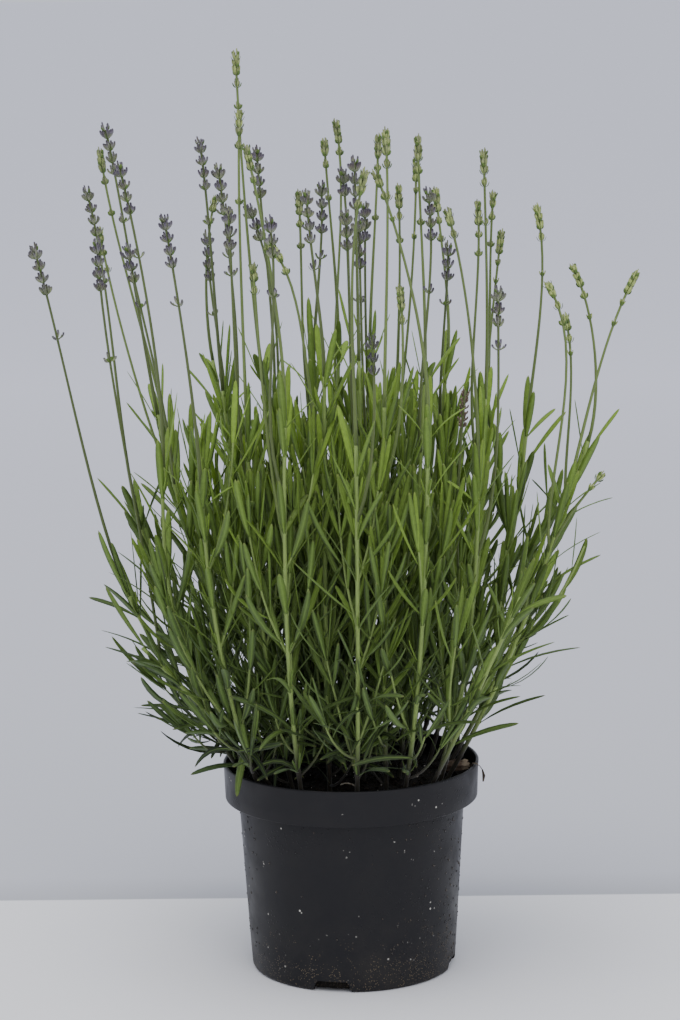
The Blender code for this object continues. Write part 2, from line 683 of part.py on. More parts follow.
def notch_cutter(surface):
    """Four blocks with slanting sides, across the pot's bottom edge."""
    mesh = bmesh.new()
    low = NOTCH_FOOT_WIDTH / 2
    high = NOTCH_TOP_WIDTH / 2
    drop = 0.004
    for order in range(NOTCH_COUNT):
        turn = NOTCH_TURN + math.tau * order / NOTCH_COUNT
        outward = Vector((math.cos(turn), math.sin(turn), 0))
        aside = Vector((-math.sin(turn), math.cos(turn), 0))
        inner = outward * (BASE_RADIUS - NOTCH_DEPTH)
        section = [(-low, -drop), (low, -drop), (high, NOTCH_HEIGHT), (-high, NOTCH_HEIGHT)]
        face = first_face(mesh, [inner + aside * x + Vector((0, 0, z)) for x, z in section])
        end, _ = grow(mesh, face, [vertex.co + outward * 0.03 for vertex in face.verts])
        close_foot(mesh)
    return object_of("notch_cutter", mesh, surface)


def build_soil(plans):
    surface = material("soil_peat", SOIL_BROWN, 0.95)
    inner = BODY_TOP_RADIUS - WALL - GAP
    collar = COLLAR_FOOT_RADIUS - WALL - GAP
    slope = (RIM_RADIUS - COLLAR_FOOT_RADIUS) / (POT_HEIGHT - COLLAR_FOOT)
    profile = [
        (0, FLOOR + GAP),
        (BASE_RADIUS - WALL - GAP - 0.0001, FLOOR + GAP),
        (inner, COLLAR_FOOT + WALL + GAP),
        (collar - 0.0002, COLLAR_FOOT + WALL + GAP),
        (collar + slope * (SOIL_TOP - COLLAR_FOOT) * 0.5, SOIL_TOP - 0.001),
        (collar - 0.001, SOIL_TOP),
        (0, SOIL_TOP + SOIL_CROWN),
    ]
    soil = turned("soil", profile, surface)
    cut(soil, hole_cutter(plans, surface))
    smooth(soil, 40)


def hole_cutter(plans, surface):
    """A six-sided prism round the foot of each stem."""
    mesh = bmesh.new()
    for stem, _ in plans:
        lengths = lengths_along(stem)
        knee, _ = place_along(stem, lengths, FIRST_NODE - NODE_HEIGHT / 2)
        heading = (knee - stem[0]).normalized()
        across, over = carried(Vector((1, 0, 0)), heading)
        angles = [math.tau * i / HOLE_SIDES for i in range(HOLE_SIDES)]
        corners = []
        for place in (stem[0] - heading * GAP * 4, stem[0].lerp(knee, 0.85)):
            ring = [across * math.cos(turn) + over * math.sin(turn) for turn in angles]
            corners.append([place + way * HOLE_RADIUS for way in ring])
        face = first_face(mesh, corners[0])
        grow(mesh, face, corners[1])
        bmesh.ops.holes_fill(mesh, edges=[edge for edge in mesh.edges if edge.is_boundary], sides=HOLE_SIDES)
    bmesh.ops.recalc_face_normals(mesh, faces=mesh.faces)
    return object_of("hole_cutter", mesh, surface)


def build_chip():
    """A scrap of bark, thicker in the middle, that lies on the soil."""
    surface = material("bark", BARK_BROWN, 0.85)
    mesh = bmesh.new()
    bmesh.ops.create_cube(mesh, size=1)
    long_edges = [edge for edge in mesh.edges if abs(edge.verts[0].co.x - edge.verts[1].co.x) > 0.5]
    bmesh.ops.subdivide_edges(mesh, edges=long_edges, cuts=2)
    chance = random.Random(7)
    for vertex in mesh.verts:
        bulge = 1 - 0.5 * abs(vertex.co.x)
        x, y, z = vertex.co
        top = z > 0
        wide = CHIP_SIZE[1] * bulge * chance.uniform(0.85, 1.1)
        vertex.co = (x * CHIP_SIZE[0], y * wide, CHIP_SIZE[2] * bulge * top)
    bmesh.ops.triangulate(mesh, faces=mesh.faces)
    chip = object_of("bark_chip", mesh, surface)
    reach = math.hypot(*CHIP_PLACE) - CHIP_SIZE[0] / 2
    height = SOIL_TOP + SOIL_CROWN * (1 - reach / COLLAR_FOOT_RADIUS) + GAP
    chip.location = (*CHIP_PLACE, height)
    chip.rotation_euler = (0, 0, CHIP_TURN)


def build_dry_leaf():
    """A dry leaf bent over the rim, a little off it all the way."""
    surface = material("dry_leaf", DRY_BROWN, 0.8)
    off = GAP * 1.5
    inside = RIM_RADIUS - WALL * 1.4 - off
    outside = RIM_RADIUS + off
    top = POT_HEIGHT + off
    thick = DRY_LEAF_THICKNESS
    under = [(inside - 0.001, top - 0.006), (inside, top), (outside, top), (outside + 0.0006, top - 0.011)]
    over = [
        (inside - 0.001 - thick, top - 0.006),
        (inside - thick, top + thick),
        (outside + thick, top + thick),
        (outside + 0.0006 + thick, top - 0.011),
    ]
    mesh = bmesh.new()
    halves = []
    for side in (-1, 1):
        aside = side * DRY_LEAF_WIDTH / 2
        halves.append([Vector((radius, aside, height)) for radius, height in under + over[::-1]])
    face = first_face(mesh, halves[0])
    grow(mesh, face, halves[1])
    bmesh.ops.holes_fill(mesh, edges=[edge for edge in mesh.edges if edge.is_boundary], sides=8)
    bmesh.ops.recalc_face_normals(mesh, faces=mesh.faces)
    bmesh.ops.triangulate(mesh, faces=mesh.faces)
    leaf = object_of("dry_leaf", mesh, surface)
    leaf.rotation_euler = (0, 0, DRY_LEAF_TURN)


def build_plant(plans, room):
    leaf_surface = material("leaf_green", LEAF_GREEN, 0.6)
    violet_surface = material("calyx_violet", VIOLET, 0.7)
    count = 0
    for index, plan in enumerate(plans):
        stations, leaves = plan_leaves(index, plan[0], room)
        mesh, spikes = shoot_mesh(index, plan, stations, leaves)
        object_of(f"shoot_{index + 1:02d}", mesh, leaf_surface)
        for line, stalk, across in spikes:
            count += 1
            object_of(f"spike_{count:02d}", spike_mesh(line, stalk, across), violet_surface)


def clear_scene():
    for old in list(bpy.data.objects):
        bpy.data.objects.remove(old)


def main():
    clear_scene()
    plans, room = plan_lines()
    build_pot()
    build_soil(plans)
    build_chip()
    build_dry_leaf()
    build_plant(plans, room)


main()
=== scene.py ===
# %% [markdown]
# # A potted lavender
#
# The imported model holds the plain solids: a pot, its soil, a bark chip, a dry leaf, leafy shoots
# and violet spikes. This lesson dresses them. Each step says what a piece is on the real plant, how
# it could be made in Blender, and why one way was chosen. Everything is in metres, in the packed
# model's frame: the origin is the middle of the pot's base, +Z is up and the front is -Y.

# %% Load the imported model
import math
import random
from collections import namedtuple

import bmesh
import bpy
import numpy as np
from mathutils import Matrix, Vector, noise


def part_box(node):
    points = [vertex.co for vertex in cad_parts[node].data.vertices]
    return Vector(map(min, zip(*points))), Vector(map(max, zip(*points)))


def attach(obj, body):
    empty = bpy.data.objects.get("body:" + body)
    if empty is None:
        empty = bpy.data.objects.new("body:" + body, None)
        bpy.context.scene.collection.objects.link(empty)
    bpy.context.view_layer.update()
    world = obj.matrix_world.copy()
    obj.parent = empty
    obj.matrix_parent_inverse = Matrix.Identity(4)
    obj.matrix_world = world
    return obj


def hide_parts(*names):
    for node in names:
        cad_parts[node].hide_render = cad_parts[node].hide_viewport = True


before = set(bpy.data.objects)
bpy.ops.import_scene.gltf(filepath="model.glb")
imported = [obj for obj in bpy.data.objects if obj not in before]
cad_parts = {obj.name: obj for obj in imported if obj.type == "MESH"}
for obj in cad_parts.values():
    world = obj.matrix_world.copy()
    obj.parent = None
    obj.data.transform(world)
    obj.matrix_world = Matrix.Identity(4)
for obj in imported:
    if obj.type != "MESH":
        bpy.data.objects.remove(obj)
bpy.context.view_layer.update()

# %% [markdown]
# ## Camera
#
# The plant is seen from about two metres away and ten degrees above, with a long lens that hardly
# spreads the verticals. The camera could be aimed with a Track To constraint, but a matrix built
# from its three directions also holds the small roll of a camera held by hand.

# %% Camera
CAMERA_PLACE = (0.0285, -2.0769, 0.6945)
CAMERA_PITCH = 0.1738
CAMERA_ROLL = 0.0151
CAMERA_YAW = -0.0162
CAMERA_LENS = 105.88


def placed(name, data):
    """An object that shows the data, linked to the scene."""
    made = bpy.data.objects.new(name, data)
    bpy.context.scene.collection.objects.link(made)
    return made


def make_camera():
    level = math.cos(CAMERA_PITCH)
    ahead = (math.sin(CAMERA_YAW) * level, math.cos(CAMERA_YAW) * level)
    forward = Vector((*ahead, -math.sin(CAMERA_PITCH)))
    level_right = Vector((math.cos(CAMERA_YAW), -math.sin(CAMERA_YAW), 0))
    level_down = forward.cross(level_right)
    right = level_right * math.cos(CAMERA_ROLL) + level_down * math.sin(CAMERA_ROLL)
    down = level_down * math.cos(CAMERA_ROLL) - level_right * math.sin(CAMERA_ROLL)
    data = bpy.data.cameras.new("camera")
    data.lens = CAMERA_LENS
    data.sensor_width = 36
    camera = placed("camera", data)
    turned = Matrix((right, -down, -forward)).transposed().to_4x4()
    camera.matrix_world = Matrix.Translation(CAMERA_PLACE) @ turned
    bpy.context.scene.camera = camera
    return camera


camera = make_camera()
print("camera", [round(x, 3) for x in camera.location])

# %% [markdown]
# ## Node helpers
#
# Materials are made of nodes. A few short helpers keep each recipe readable: one adds a node and
# sets its inputs, one joins two sockets, and the rest make the noise, ramp, sum or mix that nearly
# every finish needs. The same nodes could be placed by hand in the Shader Editor.


# %% Node helpers
class Finish:
    """A material in the making, with its Principled shader."""

    def __init__(self, name, roughness, **values):
        self.material = bpy.data.materials.new(name)
        self.material.use_nodes = True
        self.tree = self.material.node_tree
        self.shader = self.tree.nodes["Principled BSDF"]
        self.shader.inputs["Roughness"].default_value = roughness
        for socket, value in values.items():
            self.shader.inputs[socket.replace("_", " ")].default_value = value
        self.place = self.node("ShaderNodeTexCoord").outputs["Object"]

    def node(self, kind, settings=None, **inputs):
        made = self.tree.nodes.new(kind)
        for name, value in (settings or {}).items():
            setattr(made, name, value)
        for name, value in inputs.items():
            self.feed(made.inputs[name.replace("_", " ")], value)
        return made

    def feed(self, socket, value):
        if isinstance(value, bpy.types.NodeSocket):
            self.tree.links.new(value, socket)
        else:
            socket.default_value = value

    def attribute(self, name):
        return self.node("ShaderNodeAttribute", {"attribute_name": name}).outputs["Fac"]

    def axis(self, name):
        return self.node("ShaderNodeSeparateXYZ", Vector=self.place).outputs[name]

    def uv(self, name):
        along = self.node("ShaderNodeUVMap", {"uv_map": "blade"}).outputs["UV"]
        return self.node("ShaderNodeSeparateXYZ", Vector=along).outputs[name]

    def stretched(self, scale, turn=0.0):
        """Object coordinates turned about Z and stretched, for grain that runs one way."""
        mapping = self.node("ShaderNodeMapping", Vector=self.place)
        mapping.inputs["Rotation"].default_value = (0, 0, turn)
        mapping.inputs["Scale"].default_value = scale
        return mapping.outputs["Vector"]

    def noise(self, scale, detail=3, rough=0.55, place=None):
        made = self.node("ShaderNodeTexNoise", Scale=scale, Detail=detail, Roughness=rough)
        self.feed(made.inputs["Vector"], self.place if place is None else place)
        return made.outputs["Fac"]

    def cells(self, scale):
        made = self.node("ShaderNodeTexVoronoi", Scale=scale, Vector=self.place)
        return made.outputs["Distance"]

    def math(self, operation, a, b=0.0, clamp=False):
        made = self.node("ShaderNodeMath", {"operation": operation, "use_clamp": clamp})
        self.feed(made.inputs[0], a)
        self.feed(made.inputs[1], b)
        return made.outputs[0]

    def plus(self, a, b, clamp=False):
        return self.math("ADD", a, b, clamp)

    def minus(self, a, b):
        return self.math("SUBTRACT", a, b)

    def times(self, a, b, clamp=False):
        return self.math("MULTIPLY", a, b, clamp)

    def between(self, value, low, high, start=0.0, end=1.0):
        """Value's run from low to high, as a run from start to end, held at both ends."""
        made = self.node("ShaderNodeMapRange", Value=value)
        run = (("From Min", low), ("From Max", high), ("To Min", start), ("To Max", end))
        for name, number in run:
            self.feed(made.inputs[name], number)
        return made.outputs["Result"]

    def patches(self, scale, detail, low, high, start=0.0, end=1.0):
        """Noise as soft patches: start where it is under low, end where it is over high."""
        return self.between(self.noise(scale, detail), low, high, start, end)

    def mix(self, share, first, second, blend="MIX"):
        """Two colours mixed. A colour mix has its colours at inputs 6 and 7 and output 2."""
        made = self.node("ShaderNodeMix", {"data_type": "RGBA", "blend_type": blend})
        self.feed(made.inputs[0], share)
        for socket, colour in ((made.inputs[6], first), (made.inputs[7], second)):
            self.feed(socket, (*colour, 1) if isinstance(colour, tuple) else colour)
        return made.outputs[2]

    def shaded(self, base, shade):
        """A colour made darker or lighter by a factor."""
        grey = self.node("ShaderNodeCombineColor", Red=shade, Green=shade, Blue=shade)
        return self.mix(1.0, base, grey.outputs[0], "MULTIPLY")

    def colour(self, value):
        self.feed(self.shader.inputs["Base Color"], value)

    def roughness(self, value):
        self.feed(self.shader.inputs["Roughness"], value)

    def bump(self, height, depth, strength=0.5):
        made = self.node("ShaderNodeBump", Height=height, Distance=depth, Strength=strength)
        self.feed(self.shader.inputs["Normal"], made.outputs["Normal"])


print("node helpers ready")

# %% [markdown]
# ## Floor
#
# The floor is a pale table top, and behind a line at the back it takes the cooler tone of a plain
# wall. A real wall there would hide the plant in views from behind, so one plane carries both
# tones: a painted shadow lies along the line, and painted light makes the wall's tone paler with
# the distance.

# %% Floor
FLOOR_SIZE = 150.0
WALL_LINE = 0.150
WALL_EDGE = 0.002
WALL_SHADOW = 0.06
WALL_FADE = 3.0
FLOOR_PALE = (0.89, 0.885, 0.91)
WALL_COOL = (0.555, 0.562, 0.610)
WALL_PAINTED_LIGHT = (0.93, 0.92, 1.0)


def floor_finish():
    finish = Finish("floor_pale", 0.85)
    depth = finish.axis("Y")
    wall = finish.between(depth, WALL_LINE, WALL_LINE + WALL_EDGE)
    # painted light: the wall's tone grows paler with the distance behind the line
    far = finish.between(depth, WALL_LINE, WALL_LINE + WALL_FADE)
    cool = finish.mix(far, WALL_COOL, WALL_PAINTED_LIGHT)
    # painted shadow along the foot of the wall
    shadow = finish.between(depth, WALL_LINE, WALL_LINE + WALL_SHADOW, 0.84, 1.0)
    cool = finish.shaded(cool, shadow)
    grain = finish.mix(finish.noise(4.0), FLOOR_PALE, tuple(x * 0.94 for x in FLOOR_PALE))
    finish.colour(finish.mix(wall, grain, cool))
    return finish.material


def mesh_data(name, mesh):
    """Mesh data made from a bmesh, which is freed."""
    data = bpy.data.meshes.new(name)
    mesh.to_mesh(data)
    mesh.free()
    return data


def make_floor():
    mesh = bmesh.new()
    bmesh.ops.create_grid(mesh, x_segments=2, y_segments=2, size=FLOOR_SIZE)
    data = mesh_data("floor", mesh)
    data.materials.append(floor_finish())
    floor = placed("floor", data)


make_floor()
print("floor line at", WALL_LINE, "m")

# %% [markdown]
# ## Light
#
# The light is soft and even: a wide lamp above, a wide lamp in front and a bright grey sky around.
# Small lamps would throw hard shadows of thousands of leaves, and a sky alone would throw none.

# %% Light
SKY_COLOUR = (0.86, 0.90, 1.0)
SKY_STRENGTH = 0.88


def make_lamp(name, place, aim, size, power, colour):
    data = bpy.data.lights.new(name, "AREA")
    data.size = size
    data.energy = power
    data.color = colour
    lamp = placed(name, data)
    lamp.location = place
    lamp.rotation_mode = "QUATERNION"
    lamp.rotation_quaternion = (Vector(aim) - Vector(place)).to_track_quat("-Z", "Y")
    print(name, power, "W")


def make_sky():
    world = bpy.data.worlds.new("sky")
    world.use_nodes = True
    background = world.node_tree.nodes["Background"]
    background.inputs["Color"].default_value = (*SKY_COLOUR, 1)
    background.inputs["Strength"].default_value = SKY_STRENGTH
    bpy.context.scene.world = world


make_lamp("lamp_above", (-0.25, -0.5, 2.4), (0, 0, 0.2), 1.8, 34, (1.0, 0.98, 0.95))
make_lamp("lamp_front", (0.9, -2.4, 1.3), (0, 0, 0.3), 1.6, 16, (1.0, 0.99, 0.98))
make_sky()
print("sky strength", SKY_STRENGTH)

# %% [markdown]
# ## The plan of growth
#
# The solids grow from a plan: one row for each shoot says where its stem leaves the soil, where it
# bends and where its leafy part ends, and where its bare stalks carry their spikes. The finer
# leaves, stalks and flowers have to grow in the same places, so this plan repeats the rows and the
# rules, with the same seeds. Reading the places back from the solids would also work, but the plan
# is easier to follow. First come the sizes of the pot and its soil.

# %% Sizes of the pot and the soil
CM = 0.01
POT_HEIGHT = 0.150
RIM_RADIUS = 0.0911
COLLAR_FOOT_RADIUS = 0.0900
COLLAR_FOOT = 0.1240
BODY_TOP_RADIUS = 0.0805
BASE_RADIUS = 0.0729
WALL = 0.0016
SOIL_TOP = 0.1370
SOIL_CROWN = 0.0030
ROOT_DEPTH = 0.020
print("rim", round(2 * RIM_RADIUS, 4), "m across and", POT_HEIGHT, "m high")

# %% [markdown]
# ## Sizes of stems and leaves
#
# Leaves stand nearly level low on a stem and steep and shorter near its top, so lengths and angles
# are given for both ends and blended between.

# %% Sizes of stems and leaves
STEM_RADIUS = 0.0018
STALK_RADIUS = 0.0011
NODE_SPACING = 0.030
FIRST_NODE = 0.046
FIRST_BRANCH = 0.052
BRANCH_SPACING = 0.034
BRANCH_SPREAD = 0.45
LEAVE_PULL = 0.8
ARRIVE_PULL = 0.9
AIR = 0.001

LEAF_LENGTH_LOW = 0.058
LEAF_LENGTH_HIGH = 0.044
LEAF_WIDTH = 0.0048
LEAF_ANGLE_LOW = math.radians(66)
LEAF_ANGLE_HIGH = math.radians(18)
LEAF_ANGLE_LEAST = math.radians(13)
LEAF_ANGLE_MOST = math.radians(95)
LEAF_MIDDLE = 0.48
LEAF_TRIES = 14
LOOSENESS = 0.10
LOOSER = 0.04
SHORTER = 0.03
TOP_LEFT_BARE = 0.004
TOP_CROWDED = 0.020
print("leaves", LEAF_LENGTH_HIGH, "to", LEAF_LENGTH_LOW, "m long")

# %% [markdown]
# ## The space that leaves may fill
#
# Leaves stay off the rim and the soil, inside a cone that opens upwards from the pot, and short of
# a limit at the back, the front and each side.

# %% Limits of the leaves
BACK_LIMIT = 0.138
FRONT_LIMIT = -0.172
SIDE_LIMIT = 0.198
CONE_AXIS = -0.015
CONE_FOOT = 0.140
CONE_FOOT_RADIUS = 0.104
CONE_SLOPE = 0.95
CONE_TOP = 0.240
RIM_CLEARANCE = 0.004
SOIL_CLEARANCE = 0.003
HANG = 0.030
print("leaves end", BACK_LIMIT, "m behind the pot's axis")

# %% [markdown]
# ## The rows
#
# A spike is a stack of whorls on the end of its stalk, with a bud on top. Some have one more whorl
# lower down, at a gap.

# %% Rows of the plan
WHORL_PITCH = 0.0085
BUD_HEIGHT = 0.0030
SPIKE_REACH = 0.0056
SPIKE_STEP = 0.006

Stalk = namedtuple("Stalk", "colour tip lean whorls gap")
Shoot = namedtuple("Shoot", "root middle top stalks")
V = "violet"
G = "green"

# One row a shoot, in centimetres: where its stem leaves the buried base, its middle and the top of
# its leafy part, then its stalks: colour, tip, sideways lean at the tip, whorls, and the drop to
# the lower whorl.
SHOOTS = [
    Shoot((-4.9, 0.5), (-11.6, 0.2, 19.8), (-15.6, -0.5, 27.4), [
        Stalk(V, (-21.4, -1.0, 52.0), -0.26, 4, 3.2),
        Stalk(V, (-16.9, -2.0, 52.4), -0.02, 4, 5.0),
    ]),
    Shoot((-4.3, 2.8), (-11.4, 4.2, 22.0), (-15.2, 5.0, 32.0), [
        Stalk(V, (-18.3, 5.5, 55.5), -0.25, 4, 3.4),
    ]),
    Shoot((-5.3, -1.8), (-11.2, -4.0, 22.5), (-12.5, -5.0, 37.0), [
        Stalk(V, (-15.0, -5.0, 57.8), -0.22, 4, 3.0),
    ]),
    Shoot((-4.0, 4.8), (-9.8, 7.5, 23.0), (-13.2, 9.0, 37.0), [
        Stalk(G, (-17.6, 9.5, 58.0), -0.10, 3, 2.2),
        Stalk(G, (-17.7, 8.0, 52.5), -0.15, 2, 1.5),
    ]),
    Shoot((-3.6, 1.8), (-9.6, 2.6, 25.0), (-13.4, 3.0, 39.5), [
        Stalk(V, (-16.6, 3.0, 60.0), -0.20, 4, 3.4),
        Stalk(V, (-15.2, 1.4, 51.7), -0.20, 3, 1.8),
    ]),
    Shoot((-5.4, -4.2), (-8.4, -7.0, 22.5), (-9.7, -8.5, 36.0), [
        Stalk(V, (-11.8, -8.5, 54.5), -0.16, 4, 2.6),
    ]),
    Shoot((-3.6, -3.6), (-5.8, -6.0, 25.0), (-6.6, -7.2, 39.0), [
        Stalk(G, (-6.7, -6.5, 61.3), 0.05, 3, 3.6),
        Stalk(V, (-7.5, -8.2, 54.8), -0.04, 3, 1.8),
    ]),
    Shoot((-3.3, -0.2), (-6.6, 0.4, 26.0), (-8.6, 0.4, 41.5), [
        Stalk(V, (-9.8, -0.2, 59.1), -0.12, 4, 2.4),
        Stalk(V, (-8.7, 1.8, 57.2), -0.12, 4, 3.0),
    ]),
    Shoot((-2.9, 5.4), (-6.2, 8.2, 24.5), (-9.8, 9.8, 42.5), [
        Stalk(G, (-9.3, 10.0, 54.5), 0.30, 2, 0.0),
        Stalk(V, (-9.9, 8.4, 52.0), 0.05, 4, 2.6),
    ]),
    Shoot((-2.2, 2.4), (-4.0, 3.4, 25.5), (-6.0, 4.0, 42.5), [
        Stalk(G, (-7.4, 4.0, 65.0), -0.02, 3, 1.4),
        Stalk(V, (-6.0, 2.6, 58.3), -0.04, 4, 0.0),
        Stalk(V, (-6.9, 6.0, 54.0), -0.50, 3, 0.0),
    ]),
    Shoot((-3.0, -6.0), (-4.0, -9.2, 24.0), (-3.9, -10.8, 41.0), [
        Stalk(G, (-6.2, -10.2, 59.2), -0.22, 3, 4.6),
        Stalk(V, (-4.7, -11.8, 54.5), -0.18, 3, 2.6),
        Stalk(G, (-5.9, -9.0, 51.3), -0.05, 2, 0.0),
    ]),
    Shoot((-1.4, -4.0), (-1.5, -6.8, 25.5), (-1.3, -8.0, 43.5), [
        Stalk(V, (-2.3, -8.0, 56.0), -0.02, 4, 1.8),
        Stalk(G, (-5.0, -7.6, 52.6), -0.90, 3, 0.0),
    ]),
    Shoot((-0.9, -0.2), (-1.8, 0.4, 26.5), (-2.2, 0.4, 43.0), [
        Stalk(V, (-1.5, 0.0, 56.0), -0.08, 4, 1.8),
        Stalk(G, (-3.1, 1.2, 55.4), -0.06, 3, 1.4),
    ]),
    Shoot((-0.7, 4.4), (-0.8, 7.6, 25.0), (-0.6, 9.2, 44.0), [
        Stalk(G, (-1.4, 9.0, 58.5), -0.04, 2, 2.6),
        Stalk(G, (-0.6, 10.6, 59.8), -0.18, 3, 0.0),
    ]),
    Shoot((0.4, -6.6), (0.7, -10.6, 24.0), (0.8, -12.6, 39.5), [
        Stalk(G, (1.7, -12.4, 57.6), 0.30, 3, 0.0),
        Stalk(V, (1.9, -14.0, 47.0), -0.10, 3, 0.0),
    ]),
    Shoot((0.9, -2.2), (1.0, -3.4, 26.5), (1.0, -3.8, 44.0), [
        Stalk(V, (0.9, -3.8, 57.9), 0.00, 4, 0.0),
        Stalk(V, (0.2, -5.4, 54.4), -0.08, 3, 0.0),
        Stalk(V, (0.0, -2.2, 57.0), -0.12, 2, 0.0),
    ]),
    Shoot((1.3, 2.4), (1.6, 4.2, 26.0), (1.7, 5.0, 43.0), [
        Stalk(G, (2.5, 5.0, 59.0), 0.02, 3, 3.4),
        Stalk(V, (1.5, 6.6, 54.0), 0.02, 3, 0.0),
        Stalk(V, (1.0, 3.4, 53.2), -0.04, 4, 2.4),
    ]),
    Shoot((2.5, -4.2), (2.5, -7.4, 24.5), (2.7, -9.0, 41.5), [
        Stalk(G, (3.0, -8.8, 60.0), -0.05, 3, 2.0),
        Stalk(G, (3.8, -10.2, 49.8), -0.10, 3, 0.0),
    ]),
    Shoot((1.6, 6.6), (2.6, 9.8, 24.0), (3.6, 11.6, 40.0), [
        Stalk(G, (3.9, 11.6, 55.0), -0.04, 3, 1.6),
        Stalk(G, (5.2, 10.4, 57.0), 0.00, 3, 3.2),
    ]),
    Shoot((3.2, -5.4), (4.8, -9.4, 23.0), (5.6, -11.2, 41.0), [
        Stalk(G, (2.2, -9.8, 57.4), -0.42, 2, 1.8),
    ]),
    Shoot((3.2, -1.2), (4.4, -1.8, 25.5), (5.5, -2.2, 42.5), [
        Stalk(G, (5.2, -2.2, 59.2), 0.00, 3, 3.4),
        Stalk(V, (5.8, -3.6, 55.7), -0.16, 4, 3.6),
    ]),
    Shoot((3.4, 3.8), (5.2, 6.2, 25.0), (7.3, 7.4, 43.0), [
        Stalk(G, (6.5, 7.4, 55.0), -0.10, 3, 1.2),
        Stalk(V, (7.4, 5.8, 51.2), 0.02, 3, 1.8),
    ]),
    Shoot((5.4, -3.4), (8.0, -6.0, 22.5), (9.0, -7.2, 36.0), [
        Stalk(G, (7.0, -7.0, 54.6), -0.30, 2, 0.0),
        Stalk(V, (10.4, -8.0, 49.4), 0.02, 3, 1.6),
    ]),
    Shoot((4.8, 2.0), (8.0, 2.4, 24.5), (9.8, 1.8, 40.5), [
        Stalk(G, (9.8, 1.8, 58.0), -0.02, 3, 2.6),
        Stalk(G, (9.3, 0.2, 54.6), -0.08, 3, 1.2),
    ]),
    Shoot((3.8, 5.6), (7.8, 8.8, 23.5), (10.2, 10.4, 39.0), [
        Stalk(G, (10.8, 10.4, 54.5), 0.10, 2, 2.2),
        Stalk(G, (11.3, 9.0, 51.8), 0.12, 3, 1.2),
    ]),
    Shoot((5.0, 4.0), (10.2, 5.6, 23.0), (12.9, 5.6, 38.0), [
        Stalk(G, (13.6, 5.6, 53.8), -0.26, 3, 2.4),
    ]),
    Shoot((5.6, -1.2), (11.4, -3.4, 23.5), (15.4, -4.2, 35.5), [
        Stalk(G, (20.0, -4.6, 50.0), 0.60, 3, 1.4),
        Stalk(G, (13.7, -5.2, 49.4), -0.72, 2, 1.4),
    ]),
    Shoot((5.2, 0.2), (11.6, 1.0, 23.0), (17.0, 1.0, 37.5), [
        Stalk(G, (15.8, 1.0, 50.0), -0.55, 3, 1.4),
        Stalk(G, (15.4, 2.6, 46.4), -0.30, 2, 1.2),
    ]),
    Shoot((-1.1, 5.8), (-3.2, 9.4, 21.5), (-4.6, 11.8, 32.0), []),
    Shoot((4.4, -4.6), (8.2, -8.6, 20.5), (11.6, -12.0, 29.0), []),
    Shoot((-4.2, -2.4), (-9.0, -4.2, 18.4), (-14.2, -5.8, 24.5), []),
]

print(len(SHOOTS), "shoots,", sum(len(shoot.stalks) for shoot in SHOOTS), "stalks")

# %% [markdown]
# ## Curves of the stems
#
# A leafy stem is one quadratic curve from its buried foot to its top. A bare stalk is a cubic that
# keeps the stem's direction where it leaves and its own lean where it ends. Blender's curve objects
# would draw the same lines, but leaves have to be set along them, so plain points are handier.


# %% Curves
def cm(place):
    return Vector(place) * CM


def bezier(start, control, end, t):
    return start * (1 - t) ** 2 + control * (2 * t * (1 - t)) + end * t**2


def bezier_line(start, control, end, steps):
    return [bezier(start, control, end, i / steps) for i in range(steps + 1)]


def hermite(start, leave, end, arrive, t):
    """A place on the cubic that leaves its start and arrives at its end in given directions."""
    start_share = 2 * t**3 - 3 * t**2 + 1
    leave_share = t**3 - 2 * t**2 + t
    end_share = 3 * t**2 - 2 * t**3
    arrive_share = t**3 - t**2
    return start * start_share + leave * leave_share + end * end_share + arrive * arrive_share


def leafy_line(shoot, steps=24):
    """The stem's middle line, from its buried foot to the top of its leafy part."""
    foot = Vector((shoot.root[0] * CM, shoot.root[1] * CM, SOIL_TOP - ROOT_DEPTH))
    top = cm(shoot.top)
    control = cm(shoot.middle) * 2 - (foot + top) / 2
    return bezier_line(foot, control, top, steps)


def stalk_line(start, heading, stalk, steps=24):
    """The middle line of a bare stalk, from its shoot to its spike's tip."""
    tip = cm(stalk.tip)
    reach = (tip - start).length
    arrive = Vector((stalk.lean, 0, 1)).normalized() * reach * ARRIVE_PULL
    leave = heading.normalized() * reach * LEAVE_PULL
    return [hermite(start, leave, tip, arrive, i / steps) for i in range(steps + 1)]


print("curve helpers ready")

# %% [markdown]
# ## Places along a curve
#
# Leaves and whorls sit at distances along their stem. Each needs its place, the stem's heading
# there, and a direction across the stem that doesn't spin as the stem bends.


# %% Places along a curve
def lengths_along(line):
    total = [0.0]
    for a, b in zip(line, line[1:]):
        total.append(total[-1] + (b - a).length)
    return total


def place_along(line, lengths, distance):
    """(place, heading) at a distance along a line of points."""
    for i in range(1, len(line)):
        if distance <= lengths[i] or i == len(line) - 1:
            share = (distance - lengths[i - 1]) / (lengths[i] - lengths[i - 1])
            return line[i - 1].lerp(line[i], share), (line[i] - line[i - 1]).normalized()


def sampled(line, first, step):
    """Points at even steps along a line, from a first distance on."""
    lengths = lengths_along(line)
    count = max(2, int((lengths[-1] - first) / step) + 1)
    spread = [first + (lengths[-1] - first) * i / (count - 1) for i in range(count)]
    return np.array([place_along(line, lengths, distance)[0] for distance in spread])


def carried(across, heading):
    """The across direction of the last section, turned as little as the new heading asks."""
    across = (across - heading * across.dot(heading)).normalized()
    return across, heading.cross(across)


print("places can be found along a line")

# %% [markdown]
# ## Room
#
# Stems, spikes and long leaves must not run through each other. Each is kept as a row of straight
# segments with a radius, and a new one is tried against all that came before. A physics simulation
# could push them apart too, but then nobody could say where a leaf ends up.


